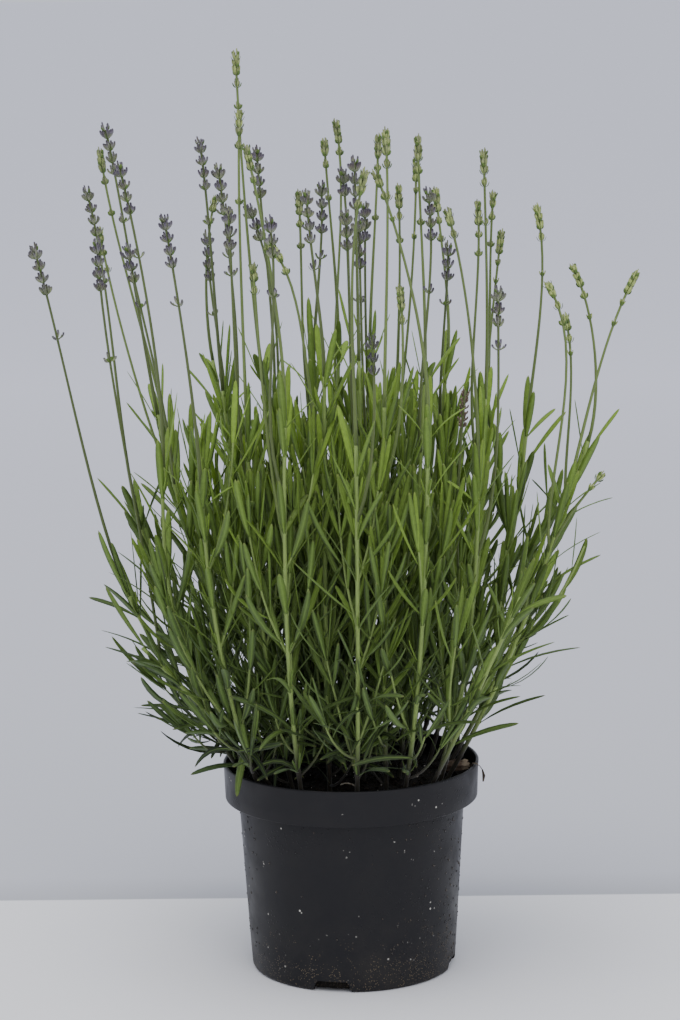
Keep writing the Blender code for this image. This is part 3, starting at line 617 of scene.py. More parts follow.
# %% Room
class Room:
    """Where stems, spikes and leaves already are, as segments with a radius and an owner."""

    def __init__(self):
        self.starts = np.zeros((0, 3))
        self.ends = np.zeros((0, 3))
        self.radii = np.zeros(0)
        self.owners = np.zeros(0, int)

    def add(self, line, radius, owner):
        points = np.array(line)
        self.starts = np.vstack([self.starts, points[:-1]])
        self.ends = np.vstack([self.ends, points[1:]])
        self.radii = np.append(self.radii, np.full(len(points) - 1, radius))
        self.owners = np.append(self.owners, np.full(len(points) - 1, owner))

    def is_clear(self, points, radius, owner):
        """True if each point stays clear of all segments but its owner's."""
        others = self.owners != owner
        starts = self.starts[others]
        run = self.ends[others] - starts
        from_start = points[:, None, :] - starts[None]
        share = np.clip((from_start * run).sum(2) / (run * run).sum(1), 0, 1)
        away = np.linalg.norm(from_start - share[..., None] * run, axis=2)
        return bool((away > self.radii[others] + radius).all())


def in_bounds(points):
    """Clear of the pot's rim, of the soil and of the space that the plant doesn't reach."""
    x, y, z = points.T
    reach = np.hypot(x, y)
    at_rim = (reach > RIM_RADIUS - RIM_CLEARANCE - WALL * 2) & (reach < RIM_RADIUS + RIM_CLEARANCE)
    by_rim = at_rim & (z < POT_HEIGHT + RIM_CLEARANCE)
    in_soil = (reach < RIM_RADIUS) & (z < SOIL_TOP + SOIL_CROWN + SOIL_CLEARANCE)
    under = z < SOIL_TOP - HANG
    cone = CONE_FOOT_RADIUS + CONE_SLOPE * (z - CONE_FOOT)
    past_cone = (z < CONE_TOP) & (np.hypot(x - CONE_AXIS, y) > cone)
    outside = (y > BACK_LIMIT) | (y < FRONT_LIMIT) | (abs(x) > SIDE_LIMIT)
    return not (by_rim | in_soil | under | past_cone | outside).any()


print("room helpers ready")

# %% [markdown]
# ## The lines of stems and stalks
#
# All stems are laid out first and then all stalks, so that leaves can be kept clear of both. The
# first stalk of a shoot carries on from the stem's end, and the others leave its side lower down.

# %% Lines of the plan
OTHERS = -1


def spike_length(stalk):
    return stalk.whorls * WHORL_PITCH + BUD_HEIGHT + stalk.gap * CM


def stalk_start(stem, stalk, order):
    """(distance, place, heading) at which a stalk leaves its stem."""
    lengths = lengths_along(stem)
    drop = FIRST_BRANCH + BRANCH_SPACING * (order - 1) if order else 0
    distance = lengths[-1] - drop
    start, heading = place_along(stem, lengths, distance)
    if order:
        aside = cm(stalk.tip) - start
        aside = (aside - heading * aside.dot(heading)).normalized()
        heading = (heading + aside * BRANCH_SPREAD).normalized()
    return distance, start, heading


def plan_lines():
    """Each shoot's leafy line with its stalks' lines, and the room that they leave."""
    room = Room()
    plans = []
    for index, shoot in enumerate(SHOOTS):
        stem = leafy_line(shoot)
        room.add(stem, STEM_RADIUS + AIR, index)
        plans.append((stem, []))
    for index, shoot in enumerate(SHOOTS):
        stem, stalks = plans[index]
        for order, stalk in enumerate(shoot.stalks):
            distance, start, heading = stalk_start(stem, stalk, order)
            line = stalk_line(start, heading, stalk)
            room.add(line, STALK_RADIUS + AIR, OTHERS if order else index)
            stalks.append((line, distance))
            foot = lengths_along(line)[-1] - spike_length(stalk)
            room.add(sampled(line, foot, SPIKE_STEP), SPIKE_REACH, OTHERS)
    return plans, room


plans, room = plan_lines()
print(len(plans), "stems laid out,", len(room.radii), "segments")

# %% [markdown]
# ## Room for each leaf
#
# Opposite leaves sit at nodes about three centimetres apart, each pair at right angles to the last.
# A leaf is tried at slightly different angles until it is clear of everything that grew before it.

# %% Leaf plan
LEAF_SEED = 100
FULL_TURN = 6.3
Leaf = namedtuple("Leaf", "station place heading outward root middle tip side width")


def leaf_course(root, heading, outward, angle, length, chance):
    """Middle and tip of a leaf that leaves at an angle and sags, less so when it is steep."""
    first = heading * math.cos(angle) + outward * math.sin(angle)
    sag = 0.10 + 0.45 * math.sin(angle) ** 2 * chance.uniform(0.5, 1.3)
    second = (first + Vector((0, 0, -1)) * sag).normalized()
    middle = root + first * (length * LEAF_MIDDLE)
    return middle, middle + second * (length * (1 - LEAF_MIDDLE))


def clear_leaf(index, place, heading, outward, height, chance):
    """A leaf's root, middle, tip, side and width, or nothing where no try is clear."""
    for attempt in range(LEAF_TRIES):
        loose = LOOSENESS + LOOSER * attempt
        turn = chance.uniform(-loose, loose)
        angle = LEAF_ANGLE_LOW + (LEAF_ANGLE_HIGH - LEAF_ANGLE_LOW) * height**0.7
        angle = angle + chance.uniform(-loose, loose)
        angle = min(max(LEAF_ANGLE_LEAST, angle), LEAF_ANGLE_MOST)
        aimed = outward * math.cos(turn) + heading.cross(outward) * math.sin(turn)
        length = LEAF_LENGTH_LOW + (LEAF_LENGTH_HIGH - LEAF_LENGTH_LOW) * height
        length *= chance.uniform(0.86, 1.12) * (1 - SHORTER * attempt)
        root = place + outward * STEM_RADIUS * 0.7
        middle, tip = leaf_course(root, heading, aimed, angle, length, chance)
        points = sampled([root, middle, tip], 0.005, 0.005)
        if in_bounds(points) and room.is_clear(points, LEAF_WIDTH / 2 + 0.0003, index):
            room.add([root.lerp(middle, 0.3), middle, tip], LEAF_WIDTH / 2, OTHERS)
            side = (tip - root).cross(heading.cross(aimed).cross(tip - root)).normalized()
            return root, middle, tip, side, LEAF_WIDTH * chance.uniform(0.88, 1.1)
    return None


def plan_leaves(index, stem):
    """The stations of a leafy stem and its leaves, each bent clear of all that is there."""
    chance = random.Random(LEAF_SEED + index)
    lengths = lengths_along(stem)
    start_x, start_y = (chance.uniform(0, FULL_TURN) for _ in range(2))
    across = Vector((math.cos(start_x), math.sin(start_y), 0))
    distance = FIRST_NODE
    stations = []
    leaves = []
    while distance < lengths[-1] - TOP_LEFT_BARE:
        place, heading = place_along(stem, lengths, distance)
        across, over = carried(across, heading)
        corner = [across, over, -across, -over]
        station = len(stations)
        height = distance / lengths[-1]
        crowded = distance > lengths[-1] - TOP_CROWDED
        for face in range(4) if crowded else (station % 2, station % 2 + 2):
            outward = (corner[face] + corner[(face + 1) % 4]).normalized()
            leaf = clear_leaf(index, place, heading, outward, height, chance)
            if leaf:
                leaves.append(Leaf(station, place, heading, outward, *leaf))
        stations.append(distance)
        distance += NODE_SPACING * chance.uniform(0.85, 1.15) * (1.0 if height < 0.75 else 0.7)
    return stations, leaves


planned = [plan_leaves(index, plan[0]) for index, plan in enumerate(plans)]
print(sum(len(leaves) for _, leaves in planned), "leaves planned")

# %% [markdown]
# ## Leaves
#
# Lavender leaves are grey-green: a thin felt of hairs lies over them, the midrib is a paler line,
# and young leaves near the tops are yellower than the old ones inside. Each leaf carries two
# numbers, its tone and its freshness, which also hold painted light at the plant's sides and top
# and painted shade near the soil and on the left, and a map that runs across and along the blade,
# so one material can paint thousands of leaves all a little differently. Image textures could do it
# too, but the numbers keep every leaf sharp.

# %% Leaf finish
LEAF_DARK = (0.034, 0.057, 0.018)
LEAF_FRESH = (0.142, 0.230, 0.024)
LEAF_RIB = (0.22, 0.34, 0.07)
LEAF_UNDER = (0.10, 0.17, 0.05)
LEAF_TIP = (0.23, 0.20, 0.07)
DARKEST_TONE = -0.75
PALEST_TONE = 1.5


def leaf_finish():
    finish = Finish("lavender_leaf", 0.55, Specular_IOR_Level=0.28, Sheen_Weight=0.05)
    across = finish.uv("X")
    along = finish.uv("Y")
    tone = finish.attribute("tone")
    fresh = finish.attribute("fresh")
    base = finish.mix(fresh, LEAF_DARK, LEAF_FRESH)
    mottle = finish.patches(420, 3, 0.35, 0.65, 0.86, 1.12)
    # the tone holds random tone, painted light at the plant's sides and top, and painted shade near
    # the soil
    shade = finish.between(tone, DARKEST_TONE, PALEST_TONE, 0.30, 1.56)
    base = finish.shaded(base, finish.times(shade, mottle))
    under = finish.math("GREATER_THAN", across, 1.0)
    centre = finish.math("ABSOLUTE", finish.minus(finish.math("FRACT", across), 0.5))
    rib = finish.between(centre, 0.02, 0.09, 1.0, 0.0)
    rib = finish.times(rib, finish.between(along, 0.05, 0.95, 0.60, 0.12))
    base = finish.mix(finish.times(under, 0.30), base, LEAF_UNDER)
    base = finish.mix(rib, base, LEAF_RIB)
    tip = finish.between(along, 0.93, 1.0, 0.0, 0.35)
    finish.colour(finish.mix(tip, base, LEAF_TIP))
    finish.roughness(finish.patches(900, 2, 0.3, 0.7, 0.46, 0.66))
    finish.bump(finish.plus(finish.noise(1500, 2), finish.times(rib, -1.5)), 0.00012, 0.5)
    return finish.material


leaf_surface = leaf_finish()
print("finish", leaf_surface.name)

# %% [markdown]
# ## Stems
#
# Old stems are brown wood at the foot, nearly black there with painted shade near the soil, and
# turn pale green higher up. Fine lines run up them and a few brown freckles lie on the green. Noise
# that is stretched along Z draws the lines.

# %% Stem finish
STEM_PALE = (0.255, 0.365, 0.090)
# brown wood, darkened with painted shade near the soil
STEM_WOOD_AND_PAINTED_SHADE = (0.019, 0.016, 0.010)
STEM_FRECKLE = (0.16, 0.10, 0.05)


def stem_finish():
    finish = Finish("lavender_stem", 0.55, Specular_IOR_Level=0.35, Sheen_Weight=0.1)
    tone = finish.attribute("tone")
    fresh = finish.attribute("fresh")
    # dark end: brown wood, nearly black near the soil with painted shade
    base = finish.mix(fresh, STEM_WOOD_AND_PAINTED_SHADE, STEM_PALE)
    lines = finish.noise(1400, 2, place=finish.stretched((1, 1, 0.06)))
    shade = finish.between(tone, 0, 1, 0.75, 1.2)
    shade = finish.times(shade, finish.between(lines, 0.3, 0.7, 0.82, 1.12))
    base = finish.shaded(base, shade)
    freckle = finish.patches(260, 2, 0.62, 0.75, 0.0, 0.22)
    finish.colour(finish.mix(freckle, base, STEM_FRECKLE))
    finish.roughness(finish.patches(700, 2, 0.3, 0.7, 0.45, 0.65))
    finish.bump(lines, 0.00015, 0.4)
    return finish.material


stem_surface = stem_finish()
print("finish", stem_surface.name)

# %% [markdown]
# ## Calyxes
#
# The small felted tubes that hold the flowers give a spike its colour. Violet ones are greener at
# the foot, darker at the mouth and brown in patches where they have faded; young ones are wholly
# green. Ribs run along them, drawn by a sine wave across the map.

# %% Calyx finish
CALYX_GREEN = (0.35, 0.42, 0.125)
CALYX_GREEN_FOOT = (0.22, 0.30, 0.08)
CALYX_FOOT = (0.27, 0.31, 0.16)
CALYX_VIOLET = (0.135, 0.115, 0.160)
CALYX_BROWN = (0.105, 0.078, 0.058)
CALYX_TIP = (0.028, 0.018, 0.038)
CALYX_RIBS = 9


def calyx_finish():
    finish = Finish("lavender_calyx", 0.75, Specular_IOR_Level=0.25, Sheen_Weight=0.35)
    across = finish.uv("X")
    along = finish.uv("Y")
    tone = finish.attribute("tone")
    fresh = finish.attribute("fresh")
    rise = finish.between(along, 0.15, 0.75)
    faded = finish.patches(95, 2, 0.50, 0.66, 0.0, 0.65)
    violet = finish.mix(rise, CALYX_FOOT, finish.mix(faded, CALYX_VIOLET, CALYX_BROWN))
    green = finish.mix(rise, CALYX_GREEN_FOOT, CALYX_GREEN)
    base = finish.mix(fresh, violet, green)
    rib = finish.math("SINE", finish.times(across, math.tau * CALYX_RIBS))
    # a tone below nought is painted shade, as on the low violet spikes
    shade = finish.between(tone, -0.5, 1, 0.255, 1.35)
    shade = finish.times(shade, finish.between(rib, -1, 1, 0.58, 1.26))
    shade = finish.times(shade, finish.patches(2600, 2, 0.35, 0.65, 0.82, 1.25))
    base = finish.shaded(base, shade)
    dark_mouth = finish.between(fresh, 0.0, 1.0, 0.92, 0.30)
    mouth = finish.times(finish.between(along, 0.78, 0.96), dark_mouth)
    finish.colour(finish.mix(mouth, base, CALYX_TIP))
    finish.bump(finish.plus(rib, finish.noise(2600, 2)), 0.00012, 0.6)
    return finish.material


calyx_surface = calyx_finish()
PLANT_SURFACES = [leaf_surface, stem_surface, calyx_surface]
LEAF_SLOT, STEM_SLOT, CALYX_SLOT = range(3)
print("finish", calyx_surface.name)

# %% [markdown]
# ## Growing a tube
#
# Blades, calyxes, stems and stalks are all drawn out the same way: a ring becomes a face, the face
# is extruded again and again, and each new ring is moved to its place. Curves with a bevel would
# give round stems too, but a lavender stem is four-sided, and a face that grows keeps every body
# closed.


# %% Tube helpers
def first_face(mesh, corners):
    made = bmesh.ops.create_circle(mesh, cap_ends=True, segments=len(corners), radius=0.001)
    face = made["verts"][0].link_faces[0]
    for vertex, corner in zip(face.verts, corners):
        vertex.co = corner
    return face


def grow(mesh, face, corners):
    """Extrudes a face and puts its end's corners in place. Without a face, it makes the first."""
    if face is None:
        return first_face(mesh, corners)
    end = bmesh.ops.extrude_discrete_faces(mesh, faces=[face])["faces"][0]
    for vertex, corner in zip(end.verts, corners):
        vertex.co = corner
    return end


def close(mesh):
    """Fills the open foot and turns every face outwards."""
    open_edges = [edge for edge in mesh.edges if edge.is_boundary]
    bmesh.ops.holes_fill(mesh, edges=open_edges, sides=16)
    bmesh.ops.recalc_face_normals(mesh, faces=mesh.faces)


def plant_mesh(name, mesh, slot):
    """The mesh's data, smooth and all in one material slot."""
    for face in mesh.faces:
        face.material_index = slot
        face.smooth = True
    return mesh_data(name, mesh)


print("tube helpers ready")

# %% [markdown]
# ## Maps
#
# A map tells a material how far across and how far along a leaf or calyx it is. Blender can unwrap
# a mesh by itself, but here the shape already says where everything is.


# %% Maps
def map_blade(mesh):
    """A map that runs across (0 to 1 on top, 1 to 2 below) and along a blade of half width 1."""
    layer = mesh.loops.layers.uv.new("blade")
    for face in mesh.faces:
        below = face.normal.y < -0.2
        for loop in face.loops:
            share = min(0.99, max(0.01, 0.5 + 0.5 * loop.vert.co.x))
            loop[layer].uv = (share + below, loop.vert.co.z)


def map_round(mesh):
    """A map that runs round and along the pattern, without a jump inside a face."""
    layer = mesh.loops.layers.uv.new("blade")
    for face in mesh.faces:
        middle = face.calc_center_median()
        turn = math.atan2(middle.y, middle.x) / math.tau
        for loop in face.loops:
            place = loop.vert.co
            own = math.atan2(place.y, place.x) / math.tau
            off_axis = place.xy.length > 1e-6
            loop[layer].uv = (own + round(turn - own) if off_axis else turn, place.z)


print("map helpers ready")

# %% [markdown]
# ## Patterns: a broad blade, a small blade and a calyx
#
# A leaf is a narrow strap, widest past its middle, blunt at the tip, with rolled edges and a sunken
# midrib. A calyx is a ribbed tube with short teeth and a closed bud in its mouth. Each is drawn
# once, a unit long, and every copy is then bent along its own curve, which is far quicker than
# modelling each.

# %% Patterns
BLADE_RISE = (0.0, 0.07, 0.20, 0.38, 0.56, 0.74, 0.88, 0.96)
BLADE_WIDTH = (0.34, 0.46, 0.76, 0.95, 1.0, 0.94, 0.74, 0.46)
BLADE_RING = ((-1, -0.12), (0, -0.24), (1, -0.12), (0.50, 0.05), (0, -0.06), (-0.50, 0.05))
SMALL_RISE = (0.0, 0.20, 0.50, 0.80, 0.94)
SMALL_WIDTH = (0.40, 0.80, 1.0, 0.86, 0.52)
SMALL_RING = ((-1, -0.05), (0, -0.30), (1, -0.05), (0, 0.02))
CALYX_RISE = (0.0, 0.14, 0.38, 0.68, 0.88, 1.0)
CALYX_WIDTH = (0.34, 0.62, 0.92, 1.0, 0.92, 0.86)
CALYX_SIDES = 6
CALYX_TOOTH = 0.05


def pattern_of(name, sections, tip, slot, mapping):
    """A pattern that runs from z 0 to its tip, drawn through its sections."""
    mesh = bmesh.new()
    face = None
    for section in sections:
        face = grow(mesh, face, section)
    bmesh.ops.poke(mesh, faces=[face])["verts"][0].co = tip
    close(mesh)
    mapping(mesh)
    return plant_mesh(name, mesh, slot)


def blade_sections(ring, rises, widths):
    return [
        [Vector((x * width, y * width, rise)) for x, y in ring]
        for rise, width in zip(rises, widths)
    ]


def calyx_section(rise, width, teeth=0.0):
    ring = []
    for side in range(CALYX_SIDES):
        turn = math.tau * side / CALYX_SIDES
        tooth = teeth if side % 2 else -teeth
        ring.append(Vector((math.cos(turn) * width, math.sin(turn) * width, rise + tooth)))
    return ring


def calyx_sections():
    """The tube up to its teeth, then the bud that closes its mouth."""
    tube = [calyx_section(*section) for section in zip(CALYX_RISE[:-1], CALYX_WIDTH[:-1])]
    teeth = calyx_section(CALYX_RISE[-1], CALYX_WIDTH[-1], CALYX_TOOTH)
    return tube + [teeth, calyx_section(0.93, 0.58), calyx_section(1.03, 0.50)]


blade_pattern = pattern_of(
    "blade_pattern", blade_sections(BLADE_RING, BLADE_RISE, BLADE_WIDTH),
    Vector((0, -0.02, 1.0)), LEAF_SLOT, map_blade,
)
small_pattern = pattern_of(
    "small_pattern", blade_sections(SMALL_RING, SMALL_RISE, SMALL_WIDTH),
    Vector((0, 0, 1.0)), LEAF_SLOT, map_blade,
)
calyx_pattern = pattern_of(
    "calyx_pattern", calyx_sections(), Vector((0, 0, 1.10)), CALYX_SLOT, map_round,
)
for pattern in (blade_pattern, small_pattern, calyx_pattern):
    print(pattern.name, len(pattern.polygons), "faces")

# %% [markdown]
# ## Bending the patterns
#
# Every copy has a course: a quadratic curve from its root to its tip, the direction of its width, a
# half width and a twist. A Curve modifier could bend one blade, but thousands of objects would be
# slow, so the points are moved with numpy, all courses of a pattern at a time.

# %% Courses
Course = namedtuple("Course", "root control tip side width twist tone fresh")


def course(root, middle, tip, side, inward, width, twist, tone, fresh):
    """A course through its middle, with its upper face turned inwards, to the stem."""
    if (tip - root).cross(side).dot(inward) < 0:
        side = -side
    control = middle * 2 - (root + tip) / 2
    return Course(root, control, tip, side, width / 2, twist, tone, fresh)


def stacked(courses, name):
    """One value of every course, with an axis to spread it over the pattern's points."""
    values = [getattr(one, name) for one in courses]
    return np.array([list(x) if isinstance(x, Vector) else x for x in values])[:, None]


def bend(shape, courses):
    """The pattern's points, moved along each course."""
    root, control, tip, side, width, twist = (
        stacked(courses, name) for name in ("root", "control", "tip", "side", "width", "twist")
    )
    share = shape[None, :, 2]
    rise = share[..., None]
    centre = (1 - rise) ** 2 * root + 2 * rise * (1 - rise) * control + rise**2 * tip
    along = (1 - rise) * (control - root) + rise * (tip - control)
    along /= np.linalg.norm(along, axis=2, keepdims=True)
    across = side - along * (along * side).sum(2, keepdims=True)
    across /= np.linalg.norm(across, axis=2, keepdims=True)
    over = np.cross(along, across)
    turn = (twist * share)[..., None]
    turned_across = across * np.cos(turn) + over * np.sin(turn)
    turned_over = over * np.cos(turn) - across * np.sin(turn)
    x = (shape[None, :, 0] * width)[..., None]
    y = (shape[None, :, 1] * width)[..., None]
    return centre + turned_across * x + turned_over * y


print("courses ready")

# %% [markdown]
# ## A growing piece
#
# One piece gathers hundreds of bodies: tubes that are drawn where they stand, and patterns whose
# points are bent into place at the end. Joining finished objects would give the same mesh, slowly.

# %% Growth
# between these heights a stem turns from wood with painted shade to green
WOOD_AND_SHADE_BELOW = 0.160
GREEN_STEM_ABOVE = 0.198


def points_of(data):
    places = np.empty(len(data.vertices) * 3)
    data.vertices.foreach_get("co", places)
    return places.reshape(-1, 3)


class Growth:
    """The bodies of one piece: drawn tubes, and copies of patterns on their courses."""

    def __init__(self):
        self.mesh = bmesh.new()
        self.places = []
        self.tones = []
        self.freshness = []

    def add(self, pattern, courses):
        if not courses:
            return
        shape = points_of(pattern)
        for _ in courses:
            self.mesh.from_mesh(pattern)
        self.places.append(bend(shape, courses).reshape(-1, 3))
        self.tones.append(np.repeat([one.tone for one in courses], len(shape)))
        self.freshness.append(np.repeat([one.fresh for one in courses], len(shape)))

    def add_body(self, data, tone, fresh):
        """A drawn tube, woody and darker close to the soil, where painted shade darkens it too."""
        self.mesh.from_mesh(data)
        places = points_of(data)
        green_share = np.clip((places[:, 2] - WOOD_AND_SHADE_BELOW) / (GREEN_STEM_ABOVE - WOOD_AND_SHADE_BELOW), 0.0, 1.0)
        self.places.append(places)
        self.tones.append(np.full(len(places), tone))
        self.freshness.append(fresh * green_share)

    def finish(self, name, surfaces):
        data = mesh_data(name, self.mesh)
        places = np.concatenate(self.places).astype(np.float32)
        data.vertices.foreach_set("co", places.ravel())
        for attribute, values in (("tone", self.tones), ("fresh", self.freshness)):
            layer = data.attributes.new(attribute, "FLOAT", "POINT")
            layer.data.foreach_set("value", np.concatenate(values).astype(np.float32))
        for surface in surfaces:
            data.materials.append(surface)
        data.update()
        return placed(name, data)


print("pieces can grow")

# %% [markdown]
# ## Stems and stalks
#
# The leafy stem is four-sided with soft corners and swells a little at each node; the bare stalk
# above it is thinner and smoother. An eight-cornered ring with every other corner drawn in gives
# that section.

# %% Stems
STEM_SIDES = 8
STALK_SIDES = 6
SOFT_CORNER = 0.88
NODE_SWELL = 1.28
NODE_HALF = 0.0018
NODE_MARGIN = 0.003
STEM_STEP = 0.012
STEM_TAPER = 0.27
ALONG_X = Vector((1, 0, 0))


def stem_ring(place, across, over, radius, sides):
    ring = []
    for side in range(sides):
        turn = math.tau * side / sides
        reach = radius * (SOFT_CORNER if sides == STEM_SIDES and side % 2 else 1.0)
        ring.append(place + across * (math.cos(turn) * reach) + over * (math.sin(turn) * reach))
    return ring


def drawn_tube(line, stops, sides, across):
    """A closed tube through (distance, radius) stops along a line."""
    lengths = lengths_along(line)
    mesh = bmesh.new()
    face = None
    for distance, radius in stops:
        place, heading = place_along(line, lengths, distance)
        across, over = carried(across, heading)
        face = grow(mesh, face, stem_ring(place, across, over, radius, sides))
    close(mesh)
    mesh.loops.layers.uv.new("blade")
    return plant_mesh("tube", mesh, STEM_SLOT)


def even_stops(length, radius, count, taper=0.0):
    """Evenly spaced (distance, radius) stops, the last one thinner by the taper."""
    return [(length * i / count, radius * (1 - taper * i / count)) for i in range(count + 1)]


def stem_stops(stem, stations):
    """Stops every centimetre or so up the stem, with three more round each node."""
    total = lengths_along(stem)[-1]
    swelling = ((-NODE_HALF, 1.0), (0, NODE_SWELL), (NODE_HALF, 1.0))
    nodes = [(distance + shift, swell) for distance in stations for shift, swell in swelling]
    plain = [STEM_STEP * i for i in range(int(total / STEM_STEP) + 1)] + [total]
    stops = [
        (distance, 1.0)
        for distance in plain
        if all(abs(distance - node) > NODE_MARGIN for node, _ in nodes)
    ]
    stops += [(node, swell) for node, swell in nodes if 0 < node < total]
    return [
        (distance, STEM_RADIUS * 0.95 * (1 - STEM_TAPER * distance / total) * swell)
        for distance, swell in sorted(stops)
    ]


print("stem section", STEM_SIDES, "sides")

# %% [markdown]
# ## Light and age
#
# Leaves low down and inside are old, bluish and dark, and near the soil painted shade darkens them
# further; leaves at the top are young and yellow. Painted light brightens the leaves at the plant's
# sides and top, where light shines through them, and painted shade darkens those on the left. Lamps
# alone don't show it, and each leaf could have a material of its own. Instead all of it is worked
# out from a leaf's place and kept as two numbers with the leaf, so that one material shows it for
# all leaves.

# %% Light and age
LIGHT_PLACES = (-0.16, -0.12, -0.09, -0.05, 0.00, 0.04, 0.08, 0.11, 0.13, 0.16)
LIGHT_SHARES = (0.42, 0.60, 0.65, 0.15, -0.12, 0.05, 0.40, 0.40, -0.05, -0.30)
LOWEST_LEAF = 0.145
OPEN_RISE = 0.062
DEEP_SHADE = 0.65


def clamped(value):
    return min(1.0, max(0.0, value))


def freshness_and_shade_at(place, chance):
    """Older, bluer leaves low down, yellower ones high up, and painted shade on the leaves at the
    left.
    """
    high = (place.z - LOWEST_LEAF) / 0.250
    # painted shade: leaves on the plant's left side are darker
    painted_shade_left = clamped((-0.06 - place.x) / 0.10)
    return clamped(0.88 * high - 0.22 * painted_shade_left + chance.uniform(-0.16, 0.16))


def open_light(place):
    """How much painted light brightens a leaf at the plant's sides and top; a share below nought is
    painted shade.
    """
    side = np.interp(place.x, LIGHT_PLACES, LIGHT_SHARES)
    top = 0.25 * clamped((place.z - 0.330) / 0.080)
    return max(side, top)


print("palest leaves", LIGHT_PLACES[LIGHT_SHARES.index(max(LIGHT_SHARES))], "m to the side")

# %% [markdown]
# ## The outline of the leafy part
#
# The leaves together make a rounded form, wider than the pot and flatter from front to back. Small
# leaves are only kept where they end inside it, and none is kept over the scrap of bark, where the
# soil lies bare.

# %% Outline of the leafy part
CROWN_RISE = (0.130, 0.160, 0.190, 0.230, 0.280, 0.340, 0.400, 0.430, 0.460, 0.490, 0.515)
CROWN_REACH = (0.105, 0.130, 0.158, 0.178, 0.190, 0.180, 0.140, 0.120, 0.085, 0.040, 0.010)
CROWN_DEPTH = 0.78
CROWN_CENTRE = Vector((-0.006, -0.004))
BARE_SIDE = 0.048
BARE_FRONT = -0.100
BARE_BACK = 0.040
BARE_TOP = 0.185
OUTER_HALF = (0.5, 0.6, 0.7, 0.8, 0.9, 1.0)


def in_crown(place):
    """True inside the plant's rounded outline."""
    reach = np.interp(place.z, CROWN_RISE, CROWN_REACH)
    away = place.xy - CROWN_CENTRE
    return math.hypot(away.x, away.y / CROWN_DEPTH) < reach


def over_bark(place):
    """True over the scrap of bark."""
    return place.x > BARE_SIDE and BARE_FRONT < place.y < BARE_BACK and place.z < BARE_TOP


def fits(leaf):
    """True if a leaf's outer half is clear of the pot, the soil, the bark and the outline."""
    outer_half = [leaf.root.lerp(leaf.tip, share) for share in OUTER_HALF]
    clear = not (over_bark(outer_half[0]) or over_bark(leaf.tip))
    return clear and in_crown(leaf.tip) and in_bounds(np.array(outer_half))


print("leafy part up to", 2 * max(CROWN_REACH), "m across")

# %% [markdown]
# ## Tufts
#
# In the corner above each long leaf sits a tuft of small leaves. They follow simple rules with a
# seeded random source, so they grow the same way each time. Particles or Geometry Nodes could
# scatter them, but not as easily along a curve that was worked out before.


# %% Tufts
def small_leaf(root, heading, outward, angle, length, width, lift, chance):
    """A leaf that leaves at an angle to its stem and then lifts towards the light, or sags."""
    first = heading * math.cos(angle) + outward * math.sin(angle)
    second = (first + Vector((0, 0, 1)) * (lift + chance.uniform(-0.15, 0.15))).normalized()
    middle = root + first * (length * 0.5)
    tip = middle + second * (length * 0.5)
    twist = chance.uniform(-0.5, 0.5)
    fresh = freshness_and_shade_at(tip, chance)
    # tone: random, with painted light at the sides and top, and painted shade near the soil
    open_air = clamped((tip.z - LOWEST_LEAF) / OPEN_RISE)
    tone = (chance.random() + open_light(tip)) * open_air - DEEP_SHADE * (1.0 - open_air)
    side = heading.cross(outward)
    return course(root, middle, tip, side, heading - outward, width, twist, tone, fresh)


def tuft(place, heading, outward, count, lengths, angles, chance):
    """Small leaves that rise from one axil."""
    leaves = []
    for _ in range(count):
        spin = chance.uniform(-1.2, 1.2)
        aim = outward * math.cos(spin) + heading.cross(outward) * math.sin(spin)
        length = chance.uniform(*lengths)
        root = place + aim * (STEM_RADIUS * 0.6) + heading * chance.uniform(0.0005, 0.003)
        width = 0.0012 + length * 0.062
        angle = chance.uniform(*angles)
        leaf = small_leaf(root, heading, aim, angle, length, width, 0.1, chance)
        if fits(leaf):
            leaves.append(leaf)
    return leaves


print("tuft rules ready")

# %% [markdown]
# ## Side shoots
#
# From many nodes a side shoot rises beside the stem with leaves nearly as long as the stem's own.
# Low down, short side shoots spread over the soil. They give the plant its density, and they stay
# inside its outline.

# %% Side shoots
SIDE_NODE_SPACING = 0.0190
SIDE_FIRST_NODE = 0.010
SIDE_RADIUS = 0.0010
SIDE_TOP = 0.392
SIDE_BEND = 0.38
Habit = namedtuple("Habit", "lengths leaves spread open_angle width lift rise")
RISING = Habit((0.060, 0.115), (0.040, 0.060), 0.36, 0.0, 0.0054, (0.15, 0.55), 0.45)
SPREADING = Habit((0.030, 0.055), (0.032, 0.054), 0.72, 0.5, 0.0046, (-1.1, 0.1), 0.1)


def side_line(place, heading, outward, length, habit, chance):
    """The middle line of a side shoot: out of the axil, then up beside the stem."""
    spread = habit.spread
    start = place + outward * (STEM_RADIUS * 0.3)
    leave = (heading * (1 - spread) + outward * spread).normalized()
    control = start + leave * (length * SIDE_BEND)
    aside = heading.cross(outward) * chance.uniform(-0.3, 0.3)
    rise = Vector((0, 0, habit.rise))
    arrive = (heading + rise + outward * spread * 0.5 + aside).normalized()
    return bezier_line(start, control, control + arrive * (length * (1 - SIDE_BEND)), 8)


def side_leaf(node, along, way, share, habit, chance):
    """One leaf of a side shoot, smaller and steeper towards its top."""
    size = chance.uniform(*habit.leaves) * (1.0 - 0.15 * share)
    angle = chance.uniform(0.35, 0.80) * (1.0 - 0.5 * share) + habit.open_angle
    angle += 0.30 * clamped((0.27 - node.z) / 0.07)
    lift = chance.uniform(*habit.lift)
    width = habit.width * size / (size + 0.008)
    return small_leaf(node + way * 0.0006, along, way, angle, size, width, lift, chance)


